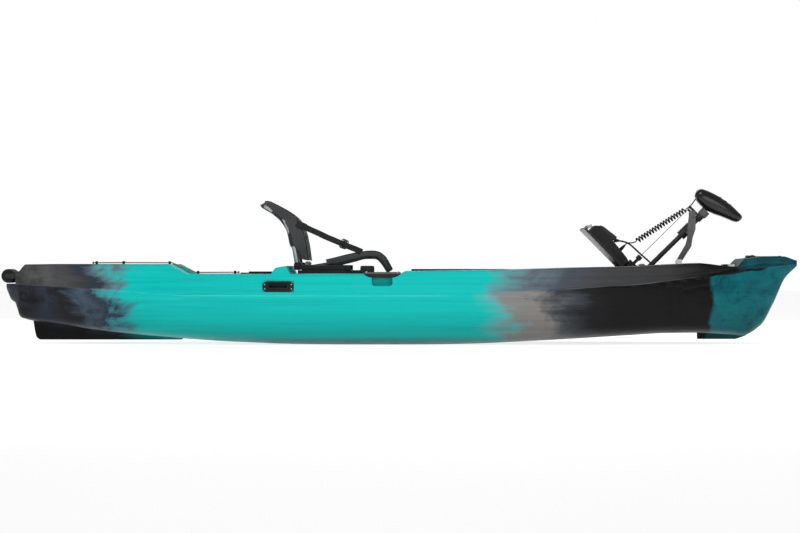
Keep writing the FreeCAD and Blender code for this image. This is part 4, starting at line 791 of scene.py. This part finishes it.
def sling(name, body, stations, dip, side, node, dents=()):
    """Mesh cloth slung between two frame tubes and wrapped round them.

    Each station is the distance and height of a front and of a rear point, and a width share.
    dip is how far the middle hangs behind the tubes.
    """
    rings = []
    line = solve_curve(stations, 5)
    for number, (front_x, front_z, rear_x, rear_z, share) in enumerate(line):
        front = mm(front_x, 0, front_z)
        through = mm(rear_x, 0, rear_z) - front
        deep = through.length * 1000
        through.normalize()
        hang = dip
        for at, width, amount in dents:
            hang += amount * math.exp(-((number / (len(line) - 1) - at) / width) ** 2)
        inner = min(36, deep - 12)
        half = [(0, hang), (70, hang - 1), (135, 0.62 * hang), (190, 0.28 * hang), (222, 2), (240, -1),
                (254, 0), (side - 2, 5), (side, 13), (side, 0.5 * deep), (side, deep - 13),
                (side - 3, deep - 4), (254, deep), (242, deep - 1), (236, deep - 8), (233, inner + 4),
                (226, inner), (190, 0.28 * hang + 15), (135, 0.62 * hang + 13), (70, hang + 12),
                (0, hang + 12)]
        ring = [front + through * mm(d) + mm(0, y * share, 0) for y, d in half]
        ring += [front + through * mm(d) - mm(0, y * share, 0) for y, d in half[-2:0:-1]]
        rings.append(ring)
    cloth = make(name, *loft(rings), None, "mesh", "panel", crease=60)
    count = len(rings[0])
    side_columns = {*range(6, 10), *range(count - 10, count - 6)}
    for face in cloth.data.polygons:
        if face.index < (len(rings) - 1) * count and face.index % count in side_columns:
            face.material_index = 1
    smooth = cloth.modifiers.new("Subdivide", "SUBSURF")
    smooth.levels = smooth.render_levels = 2
    dense = applied(cloth)
    cloth.modifiers.clear()
    cloth.data = dense
    # Soft creases: noise pushes every point of the cloth a little in or out.
    places = [(vertex.co.copy(), vertex.normal.copy()) for vertex in dense.vertices]
    for vertex, (place, normal) in zip(dense.vertices, places):
        wave = noise.noise(Vector((place.x * 34, place.y * 9, place.z * 34)))
        fine = noise.noise(Vector((place.x * 80, place.y * 26, place.z * 80)))
        vertex.co = place + normal * mm(1.5 * wave + 0.6 * fine)
    dense.shade_smooth()
    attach(cloth, body)
    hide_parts(node)
    # Piping along the front and rear edges of both sides, and seams across the middle.
    trims = (("piping", 6, 3.2, rings), ("piping_rear", 12, 2.6, rings), ("seam", 3, 2.4, rings[1:-1]))
    for trim, index, radius, rows in trims:
        for word, column in (("left", index), ("right", count - index)):
            line = [ring[column] for ring in rows]
            tube("%s_%s_%s" % (name, trim, word), line, mm(radius), body, "webbing", 8)


def seat():
    """The slung back and base, the roll at the hem and the tension straps."""
    back = [
        (-467, 428, -512, 436, 0.985), (-472, 462, -524, 474, 0.99), (-477, 500, -556, 502, 1.0),
        (-486, 545, -567, 545, 1.0), (-494, 576, -575, 578, 1.0), (-507, 606, -590, 606, 1.0),
        (-524, 637, -607, 630, 1.0), (-549, 661, -632, 653, 1.0), (-585, 686, -658, 672, 1.0),
        (-628, 710, -686, 688, 0.98), (-664, 727, -704, 700, 0.93), (-688, 729, -712, 712, 0.84),
    ]
    sling("seat_back_cloth", "seat_back", back, 20, 263, "seat_back_pad", ((0.72, 0.12, -8), (0.25, 0.18, 6)))
    base = [
        (-378, 430, -374, 391, 0.985), (-330, 441, -325, 402, 1.0), (-288, 452, -283, 413, 1.0),
        (-240, 463, -235, 425, 1.0), (-196, 471, -192, 437, 1.0), (-160, 475, -160, 439, 1.0),
        (-124, 474, -130, 438, 1.0), (-98, 465, -112, 431, 1.0), (-78, 448, -97, 415, 1.0),
        (-62, 424, -84, 398, 1.0), (-49, 396, -72, 378, 0.99), (-42, 378, -64, 366, 0.98),
    ]
    sling("seat_base_cloth", "seat", base, 12, 263, "seat_base_pad", ((0.35, 0.2, 5), (0.85, 0.1, -6)))
    # The rolled hem at the foot of the back, gathered and tied in places.
    hem_x, hem_z, hem_radius, hem_half = -476, 413, 9.6, 232
    roll = []
    sizes = []
    for step in range(61):
        y = -hem_half + 2 * hem_half * step / 60
        shift, lift, fat = (noise.noise(Vector((y * pace, seed, 0)))
                            for pace, seed in ((0.03, 3.1), (0.04, 9.7), (0.09, 0.4)))
        roll.append(mm(hem_x + 1.2 * shift, y, hem_z + lift))
        sizes.append(mm(hem_radius + 0.8 * fat - (1.4 if step % 15 == 7 else 0)))
    hem = tube("seat_hem", roll, sizes, "seat_back", "beige", 20)
    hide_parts("seat_hem_roll")
    for number in range(4):
        y = -hem_half + 2 * hem_half * (7 + 15 * number) / 60
        ring = circle(mm(hem_x, y, hem_z), Vector((1, 0, 0)), Vector((0, 0, 1)), mm(hem_radius), 24)
        tube("hem_tie_%d" % number, ring + ring[:1], mm(1.3), "seat_back", "webbing", 6)
    straps()


def band(name, line, wide, thick):
    """A flat strap along a line, with slightly rounded edges and a stitched rim."""
    up = Vector((0, 0, 1))
    rings = []
    for number, point in enumerate(line):
        before, after = around(line, number)
        way = (after - before).normalized()
        across = (up - way * up.dot(way)).normalized()
        flat = way.cross(across)
        lower = ((-1, 0), (-0.94, -1), (-0.80, -1), (-0.74, -0.6), (-0.68, -1), (0, -1), (0.68, -1),
                 (0.74, -0.6), (0.80, -1), (0.94, -1))
        rings.append([point + across * (sign * a * wide / 2) + flat * (sign * b * thick / 2)
                      for sign in (1, -1) for a, b in lower])
    return make(name, *loft(rings), None, "webbing", crease=50)


def straps():
    """A tension strap on each side, from the back down to the base, with its slider."""
    out = 266.2
    upper, lower = mm(-497, 0, 604), mm(-200, 0, 474)
    way = (lower - upper).normalized()
    for side, word in ((-1, "right"), (1, "left")):
        line = []
        for step in range(41):
            share = step / 40
            sag = 3.2 * math.sin(math.pi * share) + 0.5 * math.sin(19 * share)
            line.append(upper.lerp(lower, share) + mm(0, side * (out + 0.5 * math.sin(9 * share)), -sag))
        strap = band("seat_strap_" + word, line, mm(30), mm(2.4))
        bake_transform(strap)
        if side < 0:
            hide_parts("seat_straps")
        # A looped slider with two bars, as a strap adjuster has.
        centre = upper + way * mm(226) + mm(0, side * out, 0)
        cross = Vector((-way.z, 0, way.x))
        ring = [centre + way * mm(12 * c) + cross * mm(23 * s) for c, s in squarish(4, 32)]
        tube("slider_%s" % word, ring + ring[:1], mm(2.8), "seat", "black", 8)
        for n, shift in enumerate((-3.5, 4.0)):
            middle = centre + way * mm(shift) + mm(0, side * 3.0, 0)
            ends = [middle - cross * mm(22), middle + cross * mm(22)]
            tube("slider_bar_%s_%d" % (word, n), ends, mm(2.2), "seat", "black", 8)


seat()

# ---------------------------------------------------------------- motor unit

STOW = Matrix.Translation(mm(1251, 0, 264)) @ Matrix.Rotation(math.radians(45.5), 4, "Y")
SHAFT_X = -65
HEAD = STOW @ Matrix.Translation(mm(SHAFT_X, 0, 535)) @ Matrix.Rotation(math.radians(-16), 4, "Y")


def stowed(x, y, z):
    """A point of the upright motor unit, leant forward to where it is stowed."""
    return STOW @ mm(x, y, z)


def shell_ring(u, low, high, half, count):
    """A squarish ring of the head, across its long axis."""
    return [HEAD @ mm(u, half * c, (low + high) / 2 + (high - low) / 2 * s) for c, s in squarish(2.5, count)]


def control_head():
    """The two glossy shells of the head, a recessed seam between them and a plain key pad."""
    stations = [  # Distance along the head, lower and upper height, half width.
        (-92, 52, 71, 10), (-90, 44, 78, 20), (-85, 35, 84, 30), (-76, 26, 89, 38), (-60, 17, 92.5, 43),
        (-35, 9, 96, 46.5), (0, 3, 98.5, 48), (40, 5, 97.5, 48), (80, 12, 93, 47), (115, 17, 87, 44.5),
        (142, 20, 79.5, 40.5), (160, 24, 75, 35), (171, 31, 71, 28), (178, 41, 66.5, 19), (181, 49, 62, 10),
    ]
    line = solve_curve(stations, 4)
    points, faces = loft([shell_ring(*p, 72) for p in line])
    split = HEAD @ mm(0, 0, 56)
    normal = (HEAD.to_3x3() @ Vector((0, 0, 1))).normalized()
    for word, sign, node in (("lower", -1, "head_lower"), ("upper", 1, "head_upper")):
        shell = make("head_shell_" + word, points, faces, None, "gloss", crease=40)
        helper = bmesh.new()
        helper.from_mesh(shell.data)
        everything = helper.verts[:] + helper.edges[:] + helper.faces[:]
        cut = bmesh.ops.bisect_plane(helper, geom=everything, plane_co=split + normal * mm(0.7 * sign),
                                     plane_no=normal * -sign, clear_outer=True)
        rim = [e for e in cut["geom_cut"] if isinstance(e, bmesh.types.BMEdge)]
        bmesh.ops.edgeloop_fill(helper, edges=rim)
        bmesh.ops.recalc_face_normals(helper, faces=helper.faces)
        helper.to_mesh(shell.data)
        helper.free()
        shade(shell.data, 40)
        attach(shell, "steering")
        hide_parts(node)
    inner = [shell_ring(u * 0.985, low + 2, high - 2, max(half - 2, 6), 48) for u, low, high, half in line]
    core = make("head_gasket", *loft(inner), "steering", "rubber")
    # Four plain round keys on top of the head.
    for row, (u, y) in enumerate(((30, 0), (62, 16), (62, -16), (94, 0))):
        top = follow([(p[0], p[2]) for p in line], u) - abs(y) * 0.09
        turned("head_key_%d" % row, HEAD @ Matrix.Translation(mm(u, y, top)),
               [(8.2, -3), (8.2, 0.6), (7.2, 1.6), (4.5, 2.0)], 28, "steering", "dark_grey")


def cord_tube(name, points, diameter, sides=12):
    """A cord's mesh and the smooth line that it follows."""
    path = spline_path(points)
    return tube(name, path, mm(diameter) / 2, None, "cord", sides), path


def cords():
    """The power cable, the curly cord and its leads, and the pull cord."""
    route = [(1133, -46, 530), (1168, -56, 526), (1204, -66, 498), (1240, -76, 462), (1280, -86, 428),
             (1318, -94, 388), (1336, -98, 340), (1340, -99, 290), (1340, -99, 262)]
    piece, path = cord_tube("power_lead", [mm(*p) for p in route], 9, 16)
    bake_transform(piece)
    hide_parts("power_cable")

    low, high = (-205, 12, 169), (-143, 12, 469)
    axis_line = spline_path([stowed(*low).lerp(stowed(*high), share) for share in (0, 0.25, 0.5, 0.75, 1)])
    run = length_of(axis_line)
    turns, reach, thick = 18, mm(12.2), mm(7.6)
    helix = []
    steps = turns * 20
    way = (axis_line[-1] - axis_line[0]).normalized()
    side = (STOW.to_3x3() @ Vector((0, 1, 0))).normalized()
    other = way.cross(side)
    for step in range(steps + 1):
        share = step / steps
        centre = axis_line[0] + way * (thick / 2 + share * (run - thick))
        turn = math.tau * turns * share
        size = reach * (1 + 0.03 * math.sin(3.1 * turn / turns + 0.4))
        helix.append(centre + side * (size * math.cos(turn)) + other * (size * math.sin(turn)))
    coil = tube("curly_cord", helix, thick / 2, None, "cord", 10)
    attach(coil, "motor_mount")
    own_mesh(coil)
    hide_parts("coil_cord")

    lower = [(-232, 12, 112), (-232, 12, 131), (-209, 12, 150), low]
    upper = [high, (-139.3, 12, 486.8), (-139, 12, 512), (-146, 12, 541.5)]
    for word, route in (("lower", lower), ("upper", upper)):
        piece, path = cord_tube("coil_lead_" + word, [stowed(*p) for p in route], 6.4)
        if word == "lower":
            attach(piece, "motor_mount")
            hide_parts("cord_leads")
        else:
            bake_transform(piece)

    piece, path = cord_tube("pull_line", [stowed(-136, -8, height) for height in (126, 305, 484)], 3)
    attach(piece, "motor_mount")
    way = (path[-1] - path[0]).normalized()
    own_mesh(piece)
    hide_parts("pull_cord")


def propeller():
    """Three swept, twisted blades on a rounded hub with its nut."""
    place = STOW @ Matrix.Translation(mm(SHAFT_X - 120, 0, -230))
    place = place @ Matrix.Rotation(math.radians(-90), 4, "Y")
    for number in range(3):
        spin = Matrix.Rotation(math.tau * number / 3, 4, "Z")
        rings = []
        for row in range(19):
            share = row / 18
            radius = 12 + 91 * share
            chord = 26 + 62 * math.sin(math.pi * min(1, share * 0.86 + 0.10)) ** 0.8 * (1 - 0.35 * share)
            if share > 0.86:
                chord *= math.sqrt(max(0.02, 1 - ((share - 0.86) / 0.145) ** 2))
            twist = Matrix.Rotation(math.radians(52 - 34 * share), 4, "X")
            sweep = 20 * share * share
            thick = 4.2 * (1 - 0.72 * share)
            section = [(chord / 2 * c + sweep, thick / 2 * s + 0.06 * chord * s * s)
                       for c, s in squarish(2, 20)]
            rings.append([place @ spin @ twist @ mm(radius, along, lift) for along, lift in section])
        blade = make("blade_%d" % number, *loft(rings), "propeller", "black", crease=60)
        if number == 0:
            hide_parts("propeller")
    profile = [(17, -17), (19, -14), (19, -6), (18, 6), (16.5, 14), (13, 17), (12, 19), (12, 26), (9, 30),
               (4, 31.5)]
    turned("hub", place, profile, 40, "propeller", "black")


control_head()
cords()
propeller()

# ---------------------------------------------------------------- stage


def stage():
    """A pale floor and soft studio lights."""
    mesh = bpy.data.meshes.new("floor")
    mesh.from_pydata([(-30, -12, 0), (30, -12, 0), (30, 30, 0), (-30, 30, 0)], [], [(0, 1, 2, 3)])
    floor = placed("floor", mesh)
    pale = Paint("studio_floor", 0.8)
    pale.colour(pale.ramp(pale.noise(0.6, 2), [(0.3, 0.50), (0.7, 0.54)]))
    pale.set("Emission Color", (1, 1, 1, 1))
    pale.set("Emission Strength", 0.78)
    mesh.materials.append(pale.material)
    world = bpy.data.worlds.new("studio")
    bpy.context.scene.world = world
    world.use_nodes = True
    # The backdrop is white, while it lights the boat more softly.
    tree = world.node_tree
    glow = tree.nodes["Background"].inputs
    glow["Color"].default_value = (1, 1, 1, 1)
    seen = tree.nodes.new("ShaderNodeLightPath")
    strength = tree.nodes.new("ShaderNodeMath")
    strength.operation = "MULTIPLY_ADD"
    strength.inputs[1].default_value = 0.70
    strength.inputs[2].default_value = 0.30
    tree.links.new(seen.outputs["Is Camera Ray"], strength.inputs[0])
    tree.links.new(strength.outputs[0], glow["Strength"])
    for name, at, towards, size, power in (
        ("key", (-1.5, -4.5, 4.5), (0, 0, 0.3), 4.0, 150),
        ("front", (1.8, -5.5, 1.6), (0.4, 0, 0.25), 3.0, 40),
        ("rim", (0.5, 4.0, 3.6), (0, 0, 0.4), 4.0, 110),
    ):
        light = bpy.data.lights.new(name, "AREA")
        light.shape = "RECTANGLE"
        light.size = size
        light.size_y = size * 0.5
        light.energy = power
        lamp = placed(name, light)
        lamp.location = at
        lamp.rotation_euler = (Vector(towards) - Vector(at)).to_track_quat("-Z", "Y").to_euler()


def camera():
    """A long lens, level with the deck and square to the boat's side."""
    data = bpy.data.cameras.new("camera")
    data.lens = 120
    view = placed("camera", data)
    view.location = (0.0, -13.84, 0.397)
    view.rotation_euler = (math.radians(90), 0, 0)
    bpy.context.scene.camera = view


camera()
stage()
bpy.context.scene.view_settings.view_transform = "Standard"
